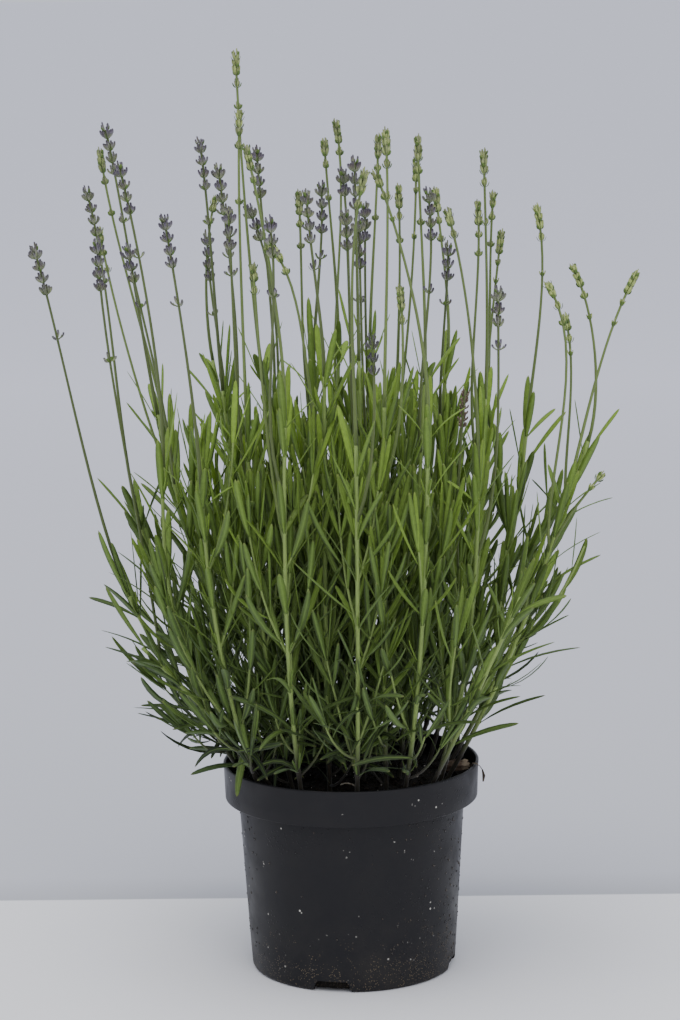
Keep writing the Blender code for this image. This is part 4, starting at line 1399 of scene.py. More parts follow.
def side_shoot(place, heading, outward, habit, chance):
    """A side shoot's tube, and its leaves: pairs up to the top and a tuft at the end."""
    length = chance.uniform(*habit.lengths)
    line = side_line(place, heading, outward, length, habit, chance)
    lengths = lengths_along(line)
    top = line[-1]
    if top.z > SIDE_TOP or not in_crown(top) or not in_bounds(np.array(line[3:])):
        return None
    leaves = []
    across = heading.cross(outward)
    distance = SIDE_FIRST_NODE
    while distance < lengths[-1]:
        node, along = place_along(line, lengths, distance)
        across, over = carried(across, along)
        for way in (across, -across):
            leaf = side_leaf(node, along, way, distance / lengths[-1], habit, chance)
            if fits(leaf):
                leaves.append(leaf)
        across = over
        distance += SIDE_NODE_SPACING * chance.uniform(0.8, 1.2)
    sizes = (habit.leaves[0] * 0.7, habit.leaves[1] * 0.9)
    for way in (across, -across):
        leaves += tuft(top - along * 0.002, along, way, 3, sizes, (0.08, 0.35), chance)
    stops = even_stops(lengths[-1], SIDE_RADIUS, 6, 0.35)
    return drawn_tube(line, stops, 6, across), leaves


print("side shoots up to", RISING.lengths[1], "m long")

# %% [markdown]
# ## Whorls
#
# A flower spike is a stack of whorls. In a whorl some eight calyxes stand in a crown that opens
# upwards: the inner ones upright, the outer ones leaning out. Two pointed bracts sit under each
# whorl. The calyxes' lean is worked out from their length, so that a wider crown is also a lower
# one.

# %% Whorls
Look = namedtuple("Look", "length girth spread inner")
Whorl = namedtuple("Whorl", "drop scale count lean")


def calyx_course(place, heading, outward, inner, look, whorl, freshness, chance):
    """One calyx, which bows outwards on its way up."""
    length = look.length * whorl.scale * chance.uniform(0.88, 1.1)
    spread = look.inner if inner else look.spread * whorl.lean * chance.uniform(0.85, 1.15)
    spread *= whorl.scale
    root = place + outward * (STALK_RADIUS * 0.6) + heading * (0.0012 if inner else 0.0)
    rise = math.sqrt(max(length**2 - spread**2, 1e-8))
    tip = root + outward * spread + heading * rise
    middle = root.lerp(tip, 0.45) + outward * (spread * 0.30)
    girth = look.girth * whorl.scale * chance.uniform(0.9, 1.1)
    side = heading.cross(outward)
    return course(root, middle, tip, side, heading, girth, 0.0, chance.random(), freshness)


def bract_course(place, heading, outward, chance):
    root = place - heading * 0.0004 + outward * (STALK_RADIUS * 0.7)
    middle = root + outward * 0.0016 + heading * 0.0011
    tip = root + outward * 0.0026 + heading * 0.0036
    side = heading.cross(outward)
    inward = heading - outward
    return course(root, middle, tip, side, inward, 0.0026, 0.0, chance.random(), 0.45)


def whorl_courses(line, whorl, look, freshness, chance):
    """Courses of the calyxes and of the bracts of one whorl."""
    lengths = lengths_along(line)
    place, heading = place_along(line, lengths, lengths[-1] - whorl.drop)
    start_x, start_y = (chance.uniform(0, FULL_TURN) for _ in range(2))
    across, over = carried(Vector((math.cos(start_x), math.sin(start_y), 0.1)), heading)
    inner_count = whorl.count // 3
    outer_count = whorl.count - inner_count
    calyxes = []
    for order in range(whorl.count):
        inner = order < inner_count
        share = order / inner_count if inner else (order - inner_count) / outer_count
        turn = math.tau * share + chance.uniform(-0.25, 0.25)
        outward = across * math.cos(turn) + over * math.sin(turn)
        calyx = calyx_course(place, heading, outward, inner, look, whorl, freshness, chance)
        calyxes.append(calyx)
    bracts = [bract_course(place, heading, outward, chance) for outward in (across, -across)]
    return calyxes, bracts


print("whorl rules ready")

# %% [markdown]
# ## Flower spikes
#
# Violet whorls stand a little apart, and the lowest one often sits alone on the stalk with only a
# few calyxes. A green spike is younger: a tight head with a small ball under it. Low violet spikes
# are spent and thin, and painted shade makes them near black; the youngest green ones nod and are
# the palest.

# %% Flower spikes
VIOLET_LOOK = Look(0.0060, 0.0018, 0.0030, 0.0012)
GREEN_LOOK = Look(0.0059, 0.0016, 0.0016, 0.0007)
VIOLET_FRESHNESS = (0.0, 0.05, 0.15, 0.32)
WHORL_RISE = 0.0016
LONG_GAP = 1.6
GREEN_PITCH = 0.0050
GREEN_HEAD = 0.0075
GREEN_GAP = 0.8
BALL_DROP = 0.0085
SPENT_AND_SHADED_BELOW = 48.0
NODDING_LEAN = 0.8
YOUNG_SIDE = 12.5


def violet_whorls(stalk):
    """The bud, a broad top whorl, the rest of the head and, at a gap, the lowest whorl."""
    whorls = [Whorl(BUD_HEIGHT + 0.0015, 0.80, 5, 0.9)]
    for order in range(stalk.whorls):
        scale, count = (1.0, 9) if order else (1.08, 11)
        drop = BUD_HEIGHT + WHORL_PITCH * (order + 1) - WHORL_RISE
        whorls.append(Whorl(drop, scale, count, 1.15))
    if stalk.gap:
        count = 4 if stalk.gap > LONG_GAP else 6
        whorls.append(Whorl(spike_length(stalk) - WHORL_RISE, 0.92, count, 1.5))
    return whorls


def green_whorls(stalk):
    """The bud, a tight head, the ball under it and often a lower whorl."""
    whorls = [Whorl(0.0042, 0.62, 5, 1.0)]
    for order in range(stalk.whorls):
        whorls.append(Whorl(GREEN_HEAD + GREEN_PITCH * order, 1.0 if order else 0.92, 8, 1.0))
    head = GREEN_HEAD + GREEN_PITCH * (stalk.whorls - 1)
    whorls.append(Whorl(head + BALL_DROP, 0.72, 7, 1.0))
    if stalk.gap > GREEN_GAP:
        whorls.append(Whorl(spike_length(stalk) - WHORL_RISE, 0.62, 5, 1.2))
    return whorls


def spike_courses(line, stalk, chance):
    """All calyxes and bracts of a spike."""
    violet = stalk.colour == V
    look = VIOLET_LOOK if violet else GREEN_LOOK
    size = chance.uniform(0.90, 1.06)
    calyxes, bracts = [], []
    for whorl in violet_whorls(stalk) if violet else green_whorls(stalk):
        freshness = chance.choice(VIOLET_FRESHNESS) if violet else chance.uniform(0.75, 1.0)
        sized = whorl._replace(scale=whorl.scale * size)
        made = whorl_courses(line, sized, look, freshness, chance)
        calyxes += made[0]
        bracts += made[1]
    # low violet spikes: thinner, with painted shade in their tone
    if violet and stalk.tip[2] < SPENT_AND_SHADED_BELOW:
        calyxes = [
            calyx._replace(tone=calyx.tone * 0.2 - 0.4, width=calyx.width * 0.80)
            for calyx in calyxes
        ]
    if not violet and (abs(stalk.lean) > NODDING_LEAN or stalk.tip[0] > YOUNG_SIDE):
        calyxes = [calyx._replace(tone=0.75 + 0.25 * calyx.tone, fresh=1.0) for calyx in calyxes]
    return calyxes, bracts


print("spike rules ready")

# %% [markdown]
# ## What grows at a node
#
# The pairs of long leaves come from the plan. Each has a tuft in its axil, and many have a side
# shoot too: most in the plant's middle, few at its edges, and hardly any in front of the front
# stems, which stand bare in the light.

# %% Nodes
TUFT_LENGTH = (0.008, 0.019)
SIDE_PLACES = (-0.16, -0.13, -0.105, -0.08, -0.03, 0.03, 0.065, 0.10, 0.16)
SIDE_CHANCES = (0.00, 0.07, 0.28, 0.66, 0.70, 0.72, 0.62, 0.26, 0.06)
LAST_SIDE_SHOOT = 0.374
OUTWARD = 0.35
FRONT_ROW = -0.045
BARE_STEM_TOP = 0.29
UPPER_PART = 0.20
BACK_FOOT_TOP = 0.28
BACK_FOOT_HALF = 0.07


def planned_blade(leaf, chance):
    twist = chance.uniform(-0.5, 0.5)
    fresh = freshness_and_shade_at(leaf.tip, chance)
    # painted light at the plant's sides and top
    tone = chance.random() + open_light(leaf.tip)
    inward = leaf.heading - leaf.outward
    width = leaf.width * 1.1
    return course(leaf.root, leaf.middle, leaf.tip, leaf.side, inward, width, twist, tone, fresh)


def axil_tuft(leaf, chance):
    """One or two small leaves, paler and younger than the leaf that they sit above."""
    count = chance.choice((1, 2))
    claws = tuft(leaf.place, leaf.heading, leaf.outward, count, TUFT_LENGTH, (0.12, 0.6), chance)
    return [
        claw._replace(tone=0.6 + 0.4 * claw.tone, fresh=min(1.0, claw.fresh + 0.35))
        for claw in claws
    ]


def side_chance(leaf):
    """How likely a side shoot is in the axil of a leaf."""
    x, y, z = leaf.place
    likely = np.interp(x, SIDE_PLACES, SIDE_CHANCES)
    if leaf.outward.xy.dot(leaf.place.xy.normalized()) > OUTWARD:
        likely *= 0.45
    in_front = y < FRONT_ROW and z < BARE_STEM_TOP
    if in_front and leaf.outward.y < -0.3:
        likely *= 0.15
    if not in_front and z > UPPER_PART:
        likely *= 1.35
    if y > 0.0 and z < BACK_FOOT_TOP and abs(x) < BACK_FOOT_HALF:
        likely *= 1.5
    return likely


def axil_shoot(leaf, chance):
    if leaf.place.z < LAST_SIDE_SHOOT and chance.random() < side_chance(leaf):
        return side_shoot(leaf.place, leaf.heading, leaf.outward, RISING, chance)
    return None


print("side shoots up to", LAST_SIDE_SHOOT, "m above the ground")

# %% [markdown]
# ## The foot and the top of a stem
#
# Short side shoots spread from the foot over the soil, except in front, where only the upper ones
# grow, and at the right, where the soil lies bare. At the top a few steep leaves close the shoot.

# %% Foot and top
BASE_NODES = (0.027, 0.034, 0.042, 0.060)
BASE_SIDE = 0.046
TOP_LENGTHS = (0.038, 0.058)


def base_shoots(stem, chance):
    lengths = lengths_along(stem)
    made = []
    for distance in BASE_NODES[2:] if stem[0].y < FRONT_ROW else BASE_NODES:
        place, heading = place_along(stem, lengths, distance)
        turn = chance.uniform(0, math.tau)
        outward = carried(Vector((math.cos(turn), math.sin(turn), 0)), heading)[0]
        grown = side_shoot(place, heading, outward, SPREADING, chance)
        if grown and place.x < BASE_SIDE:
            made.append(grown)
    return made


def top_leaves(stem, chance):
    lengths = lengths_along(stem)
    place, heading = place_along(stem, lengths, lengths[-1] - 0.006)
    across, over = carried(ALONG_X, heading)
    leaves = []
    for outward in (across, over, -across, -over):
        if chance.random() < 0.5:
            leaves += tuft(place, heading, outward, 1, TOP_LENGTHS, (0.06, 0.24), chance)
    return leaves


print(len(BASE_NODES), "places for side shoots at a stem's foot")

# %% [markdown]
# ## Stalks
#
# A bare stalk thins on its way up and ends just under its spike's tip. A green spike belongs to the
# shoot's own piece, and a violet one is put by for a piece of its own. One young stalk at the right
# is too small for the plan and grows from the side of its stem.

# %% Stalks
YOUNG_STALKS = {26: [Stalk(G, (17.7, -4.5, 36.2), 0.85, 1, 0.0)]}
YOUNG_FOOT = 0.80
violet_spikes = []


def stalk_stops(length, thick):
    """Stops up a stalk, which has thinned to its least after five eighths of its length."""
    stops = []
    for i in range(15):
        share = i / 14
        radius = thick + (STALK_RADIUS * 0.80 - thick) * min(1.0, share * 1.6)
        stops.append(((length - 0.004) * share, radius))
    return stops


def stalks_of(index):
    """(line, distance up the stem, stalk) of each stalk of a shoot, the lowest first."""
    stem, lines = plans[index]
    lengths = lengths_along(stem)
    stalks = [(line, start, stalk) for (line, start), stalk in zip(lines, SHOOTS[index].stalks)]
    for stalk in YOUNG_STALKS.get(index, []):
        start, heading = place_along(stem, lengths, lengths[-1] * YOUNG_FOOT)
        stalks.append((stalk_line(start, heading, stalk), 0.0, stalk))
    return sorted(stalks, key=lambda one: one[1])


def add_stalk(growth, line, thick, stalk, chance):
    length = lengths_along(line)[-1]
    tube = drawn_tube(line, stalk_stops(length, thick), STALK_SIDES, ALONG_X)
    green = stalk.colour == G
    growth.add_body(tube, chance.uniform(0.1, 0.8), 0.50 if green else 0.33)
    calyxes, bracts = spike_courses(line, stalk, chance)
    if green:
        growth.add(calyx_pattern, calyxes)
        growth.add(small_pattern, bracts)
    else:
        violet_spikes.append((calyxes, bracts))


print(sum(len(stalks) for stalks in YOUNG_STALKS.values()), "young stalk besides the plan's")

# %% [markdown]
# ## The leafy shoots
#
# Each shoot is one piece: the stem, its stalks, the long leaves, the tufts, the side shoots and any
# green spike. It stands for the shoot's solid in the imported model.

# %% Shoots
SHOOT_SEED = 500


def shoot_leaves(index, chance):
    """A shoot's long leaves, its small leaves and the tubes of its side shoots."""
    blades, small, tubes = [], [], []
    for leaf in planned[index][1]:
        blade = planned_blade(leaf, chance)
        if not (over_bark(leaf.middle) or over_bark(leaf.tip)):
            blades.append(blade)
        small += axil_tuft(leaf, chance)
        grown = axil_shoot(leaf, chance)
        if grown:
            tubes.append(grown[0])
            blades += grown[1]
    stem = plans[index][0]
    for tube, leaves in base_shoots(stem, chance):
        tubes.append(tube)
        blades += leaves
    return blades + top_leaves(stem, chance), small, tubes


def build_shoot(index):
    chance = random.Random(SHOOT_SEED + index)
    tone = chance.uniform(0.35, 0.75)
    blades, small, tubes = shoot_leaves(index, chance)
    growth = Growth()
    growth.add(blade_pattern, blades)
    growth.add(small_pattern, small)
    stem = plans[index][0]
    stops = stem_stops(stem, planned[index][0])
    growth.add_body(drawn_tube(stem, stops, STEM_SIDES, ALONG_X), tone, 0.85)
    for tube in tubes:
        growth.add_body(tube, tone, 0.7)
    for line, start, stalk in stalks_of(index):
        on_top = start >= lengths_along(stem)[-1]
        thick = STEM_RADIUS * 0.72 if on_top else STALK_RADIUS * 1.04
        add_stalk(growth, line, thick, stalk, chance)
    piece = growth.finish(f"lavender_shoot_{index + 1:02d}", PLANT_SURFACES)
    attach(piece, "root")
    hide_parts(f"shoot_{index + 1:02d}")
    return len(blades) + len(small)


leaf_total = sum(build_shoot(index) for index in range(len(SHOOTS)))
print(leaf_total, "leaves on", len(SHOOTS), "shoots;", len(violet_spikes), "violet spikes wait")

# %% [markdown]
# ## The violet spikes
#
# The coloured spikes are pieces of their own, because their finish is another one, and each stands
# for the spike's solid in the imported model. They sit on the stalks that the shoots already carry.

# %% Violet spikes
for number, (calyxes, bracts) in enumerate(violet_spikes, 1):
    growth = Growth()
    growth.add(calyx_pattern, calyxes)
    growth.add(small_pattern, bracts)
    spike = growth.finish(f"lavender_spike_{number:02d}", PLANT_SURFACES)
    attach(spike, "root")
    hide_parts(f"spike_{number:02d}")
print(len(violet_spikes), "violet spikes")

# %% [markdown]
# ## The nursery pot
#
# The pot is thin moulded plastic: a slightly tapered tub with a straight collar, a rounded lip, and
# four notches in the foot that let water out. It is a turned shape, so its profile is spun round
# the axis. A cylinder could be tapered and given a Solidify modifier instead, but a profile holds
# the collar, the lip and the step in the base in one go.

# %% Pot body
POT_STEPS = 128
FLOOR = 0.0025
LIP = 0.0011
FOOT_ROUND = 0.0030
COLLAR_ROUND = 0.0007


def piece_of(name, mesh, angle=None):
    """A smooth piece made from a bmesh, sharp where faces meet at more than the angle."""
    data = mesh_data(name, mesh)
    data.shade_smooth()
    if angle:
        data.set_sharp_from_angle(angle=math.radians(angle))
    return placed(name, data)


def turned_body(name, profile, steps):
    """A body spun round the Z axis from a profile that starts and ends on it."""
    mesh = bmesh.new()
    points = [mesh.verts.new((radius, 0, height)) for radius, height in profile]
    edges = [mesh.edges.new(pair) for pair in zip(points, points[1:])]
    around = {"axis": (0, 0, 1), "cent": (0, 0, 0), "angle": math.tau, "use_merge": True}
    bmesh.ops.spin(mesh, geom=points + edges, steps=steps, **around)
    bmesh.ops.remove_doubles(mesh, verts=mesh.verts, dist=1e-6)
    bmesh.ops.recalc_face_normals(mesh, faces=mesh.faces)
    return piece_of(name, mesh)


def rounded(centre, radius, start, end, steps):
    """Points of a round corner in a profile, between two angles in degrees."""
    angles = [math.radians(start + (end - start) * i / steps) for i in range(steps + 1)]
    return [(centre[0] + radius * math.cos(a), centre[1] + radius * math.sin(a)) for a in angles]


def pot_profile():
    """Half of the pot's section: under the base, up the outside, over the lip, down inside."""
    flare = BODY_TOP_RADIUS - BASE_RADIUS
    base = [(0, 0.0012), (0.030, 0.0012), (0.0325, 0.0), (BASE_RADIUS - 0.0046, 0.0)]
    base += rounded((BASE_RADIUS - FOOT_ROUND, FOOT_ROUND), FOOT_ROUND, -90, -4, 6)
    body = [(BASE_RADIUS + flare * t, COLLAR_FOOT * t) for t in (0.15, 0.4, 0.7, 0.95)]
    body += [(BODY_TOP_RADIUS, COLLAR_FOOT - 0.0008), (BODY_TOP_RADIUS + 0.0008, COLLAR_FOOT)]
    corner = (COLLAR_FOOT_RADIUS - COLLAR_ROUND, COLLAR_FOOT + COLLAR_ROUND)
    collar = rounded(corner, COLLAR_ROUND, -90, 0, 3)
    collar.append((COLLAR_FOOT_RADIUS + 0.0003, COLLAR_FOOT + 0.009))
    collar.append((RIM_RADIUS - 0.0004, POT_HEIGHT - 0.0045))
    lip = rounded((RIM_RADIUS - LIP, POT_HEIGHT - LIP), LIP, -10, 190, 8)
    inside = [
        (RIM_RADIUS - 2 * LIP, POT_HEIGHT - 0.004),
        (COLLAR_FOOT_RADIUS - WALL, COLLAR_FOOT + WALL),
        (BODY_TOP_RADIUS - WALL, COLLAR_FOOT + WALL),
        (BASE_RADIUS - WALL, FLOOR),
        (0, FLOOR),
    ]
    return base + body + collar + lip + inside


pot_shell = turned_body("pot_shell", pot_profile(), POT_STEPS)
print("pot", [round(x, 4) for x in pot_shell.dimensions])

# %% [markdown]
# ## Notches
#
# The notches are cut with a Boolean whose result is kept, and the cutter is thrown away. Deleting
# faces would leave open edges that then have to be closed by hand.

# %% Notches
NOTCH_COUNT = 4
NOTCH_TURN = math.radians(258.5)
NOTCH_HALF_FOOT = 0.0155
NOTCH_HALF_TOP = 0.0110
NOTCH_HEIGHT = 0.008
NOTCH_DEPTH = 0.012
NOTCH_BELOW = 0.004
CUTTER_LENGTH = 0.03


def notch_cutter():
    right = [
        (NOTCH_HALF_FOOT, -NOTCH_BELOW),
        (1.08 * NOTCH_HALF_TOP, NOTCH_HEIGHT - 0.002),
        (0.92 * NOTCH_HALF_TOP, NOTCH_HEIGHT),
    ]
    *left, foot = [(-x, z) for x, z in reversed(right)]
    mesh = bmesh.new()
    for order in range(NOTCH_COUNT):
        turn = NOTCH_TURN + math.tau * order / NOTCH_COUNT
        outward = Vector((math.cos(turn), math.sin(turn), 0))
        aside = Vector((-math.sin(turn), math.cos(turn), 0))
        inner = outward * (BASE_RADIUS - NOTCH_DEPTH)
        corners = [inner + aside * x + Vector((0, 0, z)) for x, z in [foot, *right, *left]]
        face = first_face(mesh, corners)
        grow(mesh, face, [corner.co + outward * CUTTER_LENGTH for corner in face.verts])
    close(mesh)
    return piece_of("notch_cutter", mesh)


def cut(piece, cutter):
    """Cuts the cutter out of the piece and keeps only the result."""
    change = piece.modifiers.new("cut", "BOOLEAN")
    change.operation = "DIFFERENCE"
    change.solver = "EXACT"
    change.object = cutter
    graph = bpy.context.evaluated_depsgraph_get()
    result = bpy.data.meshes.new_from_object(piece.evaluated_get(graph))
    piece.modifiers.clear()
    piece.data = result
    bpy.data.objects.remove(cutter)


cut(pot_shell, notch_cutter())
pot_shell.data.shade_smooth()
pot_shell.data.set_sharp_from_angle(angle=math.radians(35))
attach(pot_shell, "root")
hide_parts("pot")
print(NOTCH_COUNT, "notches cut,", len(pot_shell.data.polygons), "faces")

# %% [markdown]
# ## Black plastic
#
# Recycled black polypropylene is not quite black: it has a cool grey sheen, fine moulding waves,
# dust and dried splashes of soil near the foot, a few pale specks of perlite, and small blisters
# where drops of water dried. Noise on Object coordinates places all of them, so nothing needs to be
# unwrapped.

# %% Plastic finish
PLASTIC = (0.0098, 0.0096, 0.0114)
PLASTIC_DUST = (0.022, 0.020, 0.019)
PLASTIC_MUD = (0.135, 0.103, 0.064)
PLASTIC_SPECK = (0.50, 0.48, 0.43)
SPLASH_HEIGHT = 0.060


def plastic_finish():
    finish = Finish("black_plastic", 0.34, Specular_IOR_Level=0.19)
    low = finish.between(finish.axis("Z"), 0.0, SPLASH_HEIGHT, 1.0, 0.0)
    right = finish.between(finish.axis("X"), 0.030, 0.078)
    dust = finish.between(finish.noise(38, 5, 0.65), 0.40, 0.70)
    dust = finish.times(dust, finish.between(low, 0, 1, 0.25, 0.9))
    base = finish.mix(dust, PLASTIC, PLASTIC_DUST)
    spots = finish.between(finish.cells(700), 0.18, 0.30, 1.0, 0.0)
    bound = finish.minus(finish.between(low, 0, 1, 0.70, 0.37), finish.times(right, 0.12))
    crowd = finish.times(finish.minus(finish.noise(110, 4, 0.7), bound), 9.0, True)
    base = finish.mix(finish.times(spots, crowd), base, PLASTIC_MUD)
    speck = finish.between(finish.cells(240), 0.13, 0.23, 1.0, 0.0)
    rare = finish.patches(70, 2, finish.between(low, 0, 1, 0.635, 0.535), 0.665)
    finish.colour(finish.mix(finish.times(speck, rare), base, PLASTIC_SPECK))
    rough = finish.patches(60, 4, 0.3, 0.7, 0.28, 0.44)
    finish.roughness(finish.plus(rough, finish.times(dust, 0.25)))
    blisters = finish.between(finish.cells(330), 0.08, 0.26, 1.0, 0.0)
    wet = finish.plus(finish.patches(17, 2, 0.54, 0.60), right, True)
    blisters = finish.times(blisters, finish.times(wet, 1.6))
    grit = finish.times(spots, finish.times(crowd, 0.6))
    waves = finish.times(finish.noise(22, 2), 1.4)
    finish.bump(finish.plus(waves, finish.plus(blisters, grit)), 0.0004, 0.6)
    return finish.material


pot_shell.data.materials.clear()
pot_shell.data.materials.append(plastic_finish())
print("pot finish", pot_shell.data.materials[0].name)

# %% [markdown]
# ## Drops on the pot
#
# Watering has left drops of dirty water on the pot, most of them at the right. A bump would show
# them on the face of the wall but not along its edge, so each is a small ball flattened against the
# plastic.

# %% Drops
DROP_SEED = 61
DROP_GROUPS = ((150, -70, 18), (50, 162, 212), (45, 0, 360))
DROP_SIZES = (0.0005, 0.0010)
DROP_DARK = (0.006, 0.006, 0.007)
DROP_DIRT = (0.045, 0.034, 0.024)


def drop_finish():
    finish = Finish("dirty_water_drop", 0.18, Specular_IOR_Level=0.45)
    finish.colour(finish.mix(finish.patches(240, 2, 0.42, 0.62), DROP_DARK, DROP_DIRT))
    return finish.material


def small_ball(mesh, size):
    return bmesh.ops.create_icosphere(mesh, subdivisions=1, radius=size)["verts"]


def turn_about(mesh, corners, axis, angle):
    turned = Matrix.Rotation(angle, 3, axis)
    bmesh.ops.rotate(mesh, verts=corners, cent=(0, 0, 0), matrix=turned)


def build_drops():
    """Each group is a count and the arc, in degrees round the pot, that it lies in."""
    chance = random.Random(DROP_SEED)
    mesh = bmesh.new()
    for count, first, last in DROP_GROUPS:
        for _ in range(count):
            turn = math.radians(chance.uniform(first, last))
            height = chance.uniform(0.008, COLLAR_FOOT - 0.004)
            made = small_ball(mesh, chance.uniform(*DROP_SIZES))
            reach = BASE_RADIUS + (BODY_TOP_RADIUS - BASE_RADIUS) * height / COLLAR_FOOT
            bmesh.ops.scale(mesh, verts=made, vec=(0.6, 1.0, chance.uniform(1.0, 1.5)))
            bmesh.ops.translate(mesh, verts=made, vec=(reach, 0, height))
            turn_about(mesh, made, "Z", turn)
    drops = piece_of("pot_drops", mesh)
    drops.data.materials.append(drop_finish())
    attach(drops, "root")


build_drops()
print(sum(count for count, _, _ in DROP_GROUPS), "drops")

# %% [markdown]
# ## The soil
#
# Peat compost is dark, fibrous and crumbly. The bed is a turned shape like the pot, with many rings
# on its top so that a slow noise can heave it, and a fine noise makes the crumbs. A Displace
# modifier would do the same, but moving the points in code keeps the bed's edge exactly at the
# wall.

# %% Soil bed
SOIL_STEPS = 96
SOIL_RINGS = 16
SOIL_HEAVE = 0.0022
SOIL_SINK = 0.0006
SOIL_GAP = 0.0003


def soil_profile():
    """Half of the soil's section, a hair inside the pot's wall."""
    collar = COLLAR_FOOT_RADIUS - WALL - 0.0005
    steps = [i / SOIL_RINGS for i in range(SOIL_RINGS + 1)]
    top = [(collar * (1 - t), SOIL_TOP + SOIL_CROWN * t) for t in steps]
    return [
        (0, FLOOR + SOIL_GAP),
        (BASE_RADIUS - WALL - 0.0005, FLOOR + SOIL_GAP),
        (BODY_TOP_RADIUS - WALL - 0.0004, COLLAR_FOOT + WALL + SOIL_GAP),
        (collar - 0.0002, COLLAR_FOOT + WALL + SOIL_GAP),
        *top,
    ]


def heave(place):
    slow = noise.noise(place * 45)
    quick = noise.noise(place * 160 + Vector((3, 1, 7)))
    return SOIL_HEAVE * (0.7 * slow + 0.45 * quick) - SOIL_SINK


def build_soil():
    soil = turned_body("soil_bed", soil_profile(), SOIL_STEPS)
    for vertex in soil.data.vertices:
        if vertex.co.z >= SOIL_TOP - 1e-5:
            vertex.co.z += heave(vertex.co)
    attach(soil, "root")
    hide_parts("soil")
    return soil


soil_bed = build_soil()
print("soil", len(soil_bed.data.polygons), "faces")

# %% [markdown]
# ## Peat
#
# Peat is black-brown crumbs and fibres. Crumbs are the cells of a Voronoi texture, with painted
# shade in the gaps between them, and fibres are fine noise laid over them. Damp patches are darker.
# An image of soil would repeat, and blur when seen from close by.

# %% Peat finish
SOIL_DARK = (0.005, 0.004, 0.003)
SOIL_WARM = (0.020, 0.014, 0.010)
SOIL_FIBRE = (0.10, 0.072, 0.048)


def soil_finish():
    finish = Finish("peat_soil", 0.95, Specular_IOR_Level=0.2)
    crumbs_and_gap_shade = finish.between(finish.cells(330), 0.05, 0.55)
    # painted shade: the gaps between the crumbs are darker
    base = finish.mix(crumbs_and_gap_shade, SOIL_WARM, SOIL_DARK)
    base = finish.mix(finish.patches(900, 4, 0.55, 0.72, 0.0, 0.7), base, SOIL_FIBRE)
    damp = finish.patches(40, 3, 0.40, 0.62, 0.65, 1.25)
    finish.colour(finish.shaded(base, damp))
    finish.bump(finish.plus(finish.noise(700, 5, 0.7), crumbs_and_gap_shade), 0.0012, 0.9)
    return finish.material


peat = soil_finish()
soil_bed.data.materials.append(peat)
print("finish", peat.name)

# %% [markdown]
# ## Crumbs and perlite
#
# Loose crumbs break the line where the soil meets the stems, and white grains of perlite lie among
# them. Each is a small ball of few faces whose corners are pushed in and out. Particles could
# scatter them, but they would not come along when the part is exported.

# %% Loose grains
CRUMB_COUNT = 420
CRUMB_SEED = 21
PERLITE_COUNT = 60
PERLITE_SEED = 22
PERLITE_WHITE = (0.52, 0.50, 0.45)
PERLITE_DIRT = (0.16, 0.12, 0.09)
GRAIN_REACH = 0.083


def soil_top(x, y):
    reach = math.hypot(x, y)
    height = SOIL_TOP + SOIL_CROWN * (1 - reach / (COLLAR_FOOT_RADIUS - WALL))
    return height + heave(Vector((x, y, height)))


def add_grain(mesh, sizes, flat, chance):
    reach = GRAIN_REACH * math.sqrt(chance.random())
    turn = chance.uniform(0, math.tau)
    x, y = reach * math.cos(turn), reach * math.sin(turn)
    size = chance.uniform(*sizes) * (1.6 if chance.random() < 0.12 else 1.0)
    made = small_ball(mesh, size / 2)
    wide, deep, high = (chance.uniform(0.75, 1.25) for _ in range(3))
    for vertex in made:
        vertex.co *= chance.uniform(0.78, 1.18)
        vertex.co = (vertex.co.x * wide, vertex.co.y * deep, vertex.co.z * high * flat)
    spin, tilt = chance.uniform(0, math.tau), chance.uniform(-0.6, 0.6)
    turned = Matrix.Rotation(spin, 3, "Z") @ Matrix.Rotation(tilt, 3, "X")
    bmesh.ops.rotate(mesh, verts=made, cent=(0, 0, 0), matrix=turned)
    bmesh.ops.translate(mesh, verts=made, vec=(x, y, soil_top(x, y) + size * 0.12))


def grains(name, count, sizes, flat, seed, surface):
    chance = random.Random(seed)
    mesh = bmesh.new()
    for _ in range(count):
        add_grain(mesh, sizes, flat, chance)
    piece = piece_of(name, mesh, 40)
    piece.data.materials.append(surface)
    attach(piece, "root")


def perlite_finish():
    finish = Finish("perlite", 0.9, Specular_IOR_Level=0.3)
    finish.colour(finish.mix(finish.patches(600, 3, 0.45, 0.68), PERLITE_WHITE, PERLITE_DIRT))
    finish.bump(finish.noise(2200, 3), 0.0003, 0.7)
    return finish.material


grains("soil_crumbs", CRUMB_COUNT, (0.0014, 0.0042), 0.8, CRUMB_SEED, peat)
grains("perlite_grains", PERLITE_COUNT, (0.0009, 0.0021), 0.9, PERLITE_SEED, perlite_finish())
print(CRUMB_COUNT, "crumbs,", PERLITE_COUNT, "grains of perlite")

# %% [markdown]
# ## Bark
#
# A scrap of bark lies at the right and tells the eye the scale of the soil. It is a block whose
# points are moved: its ends are drawn in, its top is rounded and noise wears its edges. Sculpting
# would give the same, but not twice the same.

# %% Bark
CHIP_PLACE = (0.0738, -0.0014, 0.0030)
CHIP_TURN = math.radians(-8)
CHIP_TILT = math.radians(-9)
CHIP_SIZE = (0.0205, 0.0110, 0.0062)
CHIP_PALE_END = (0.0806, 0.0832)
BARK_DARK = (0.042, 0.027, 0.020)
BARK_BROWN = (0.150, 0.105, 0.075)
BARK_PALE = (0.27, 0.215, 0.155)


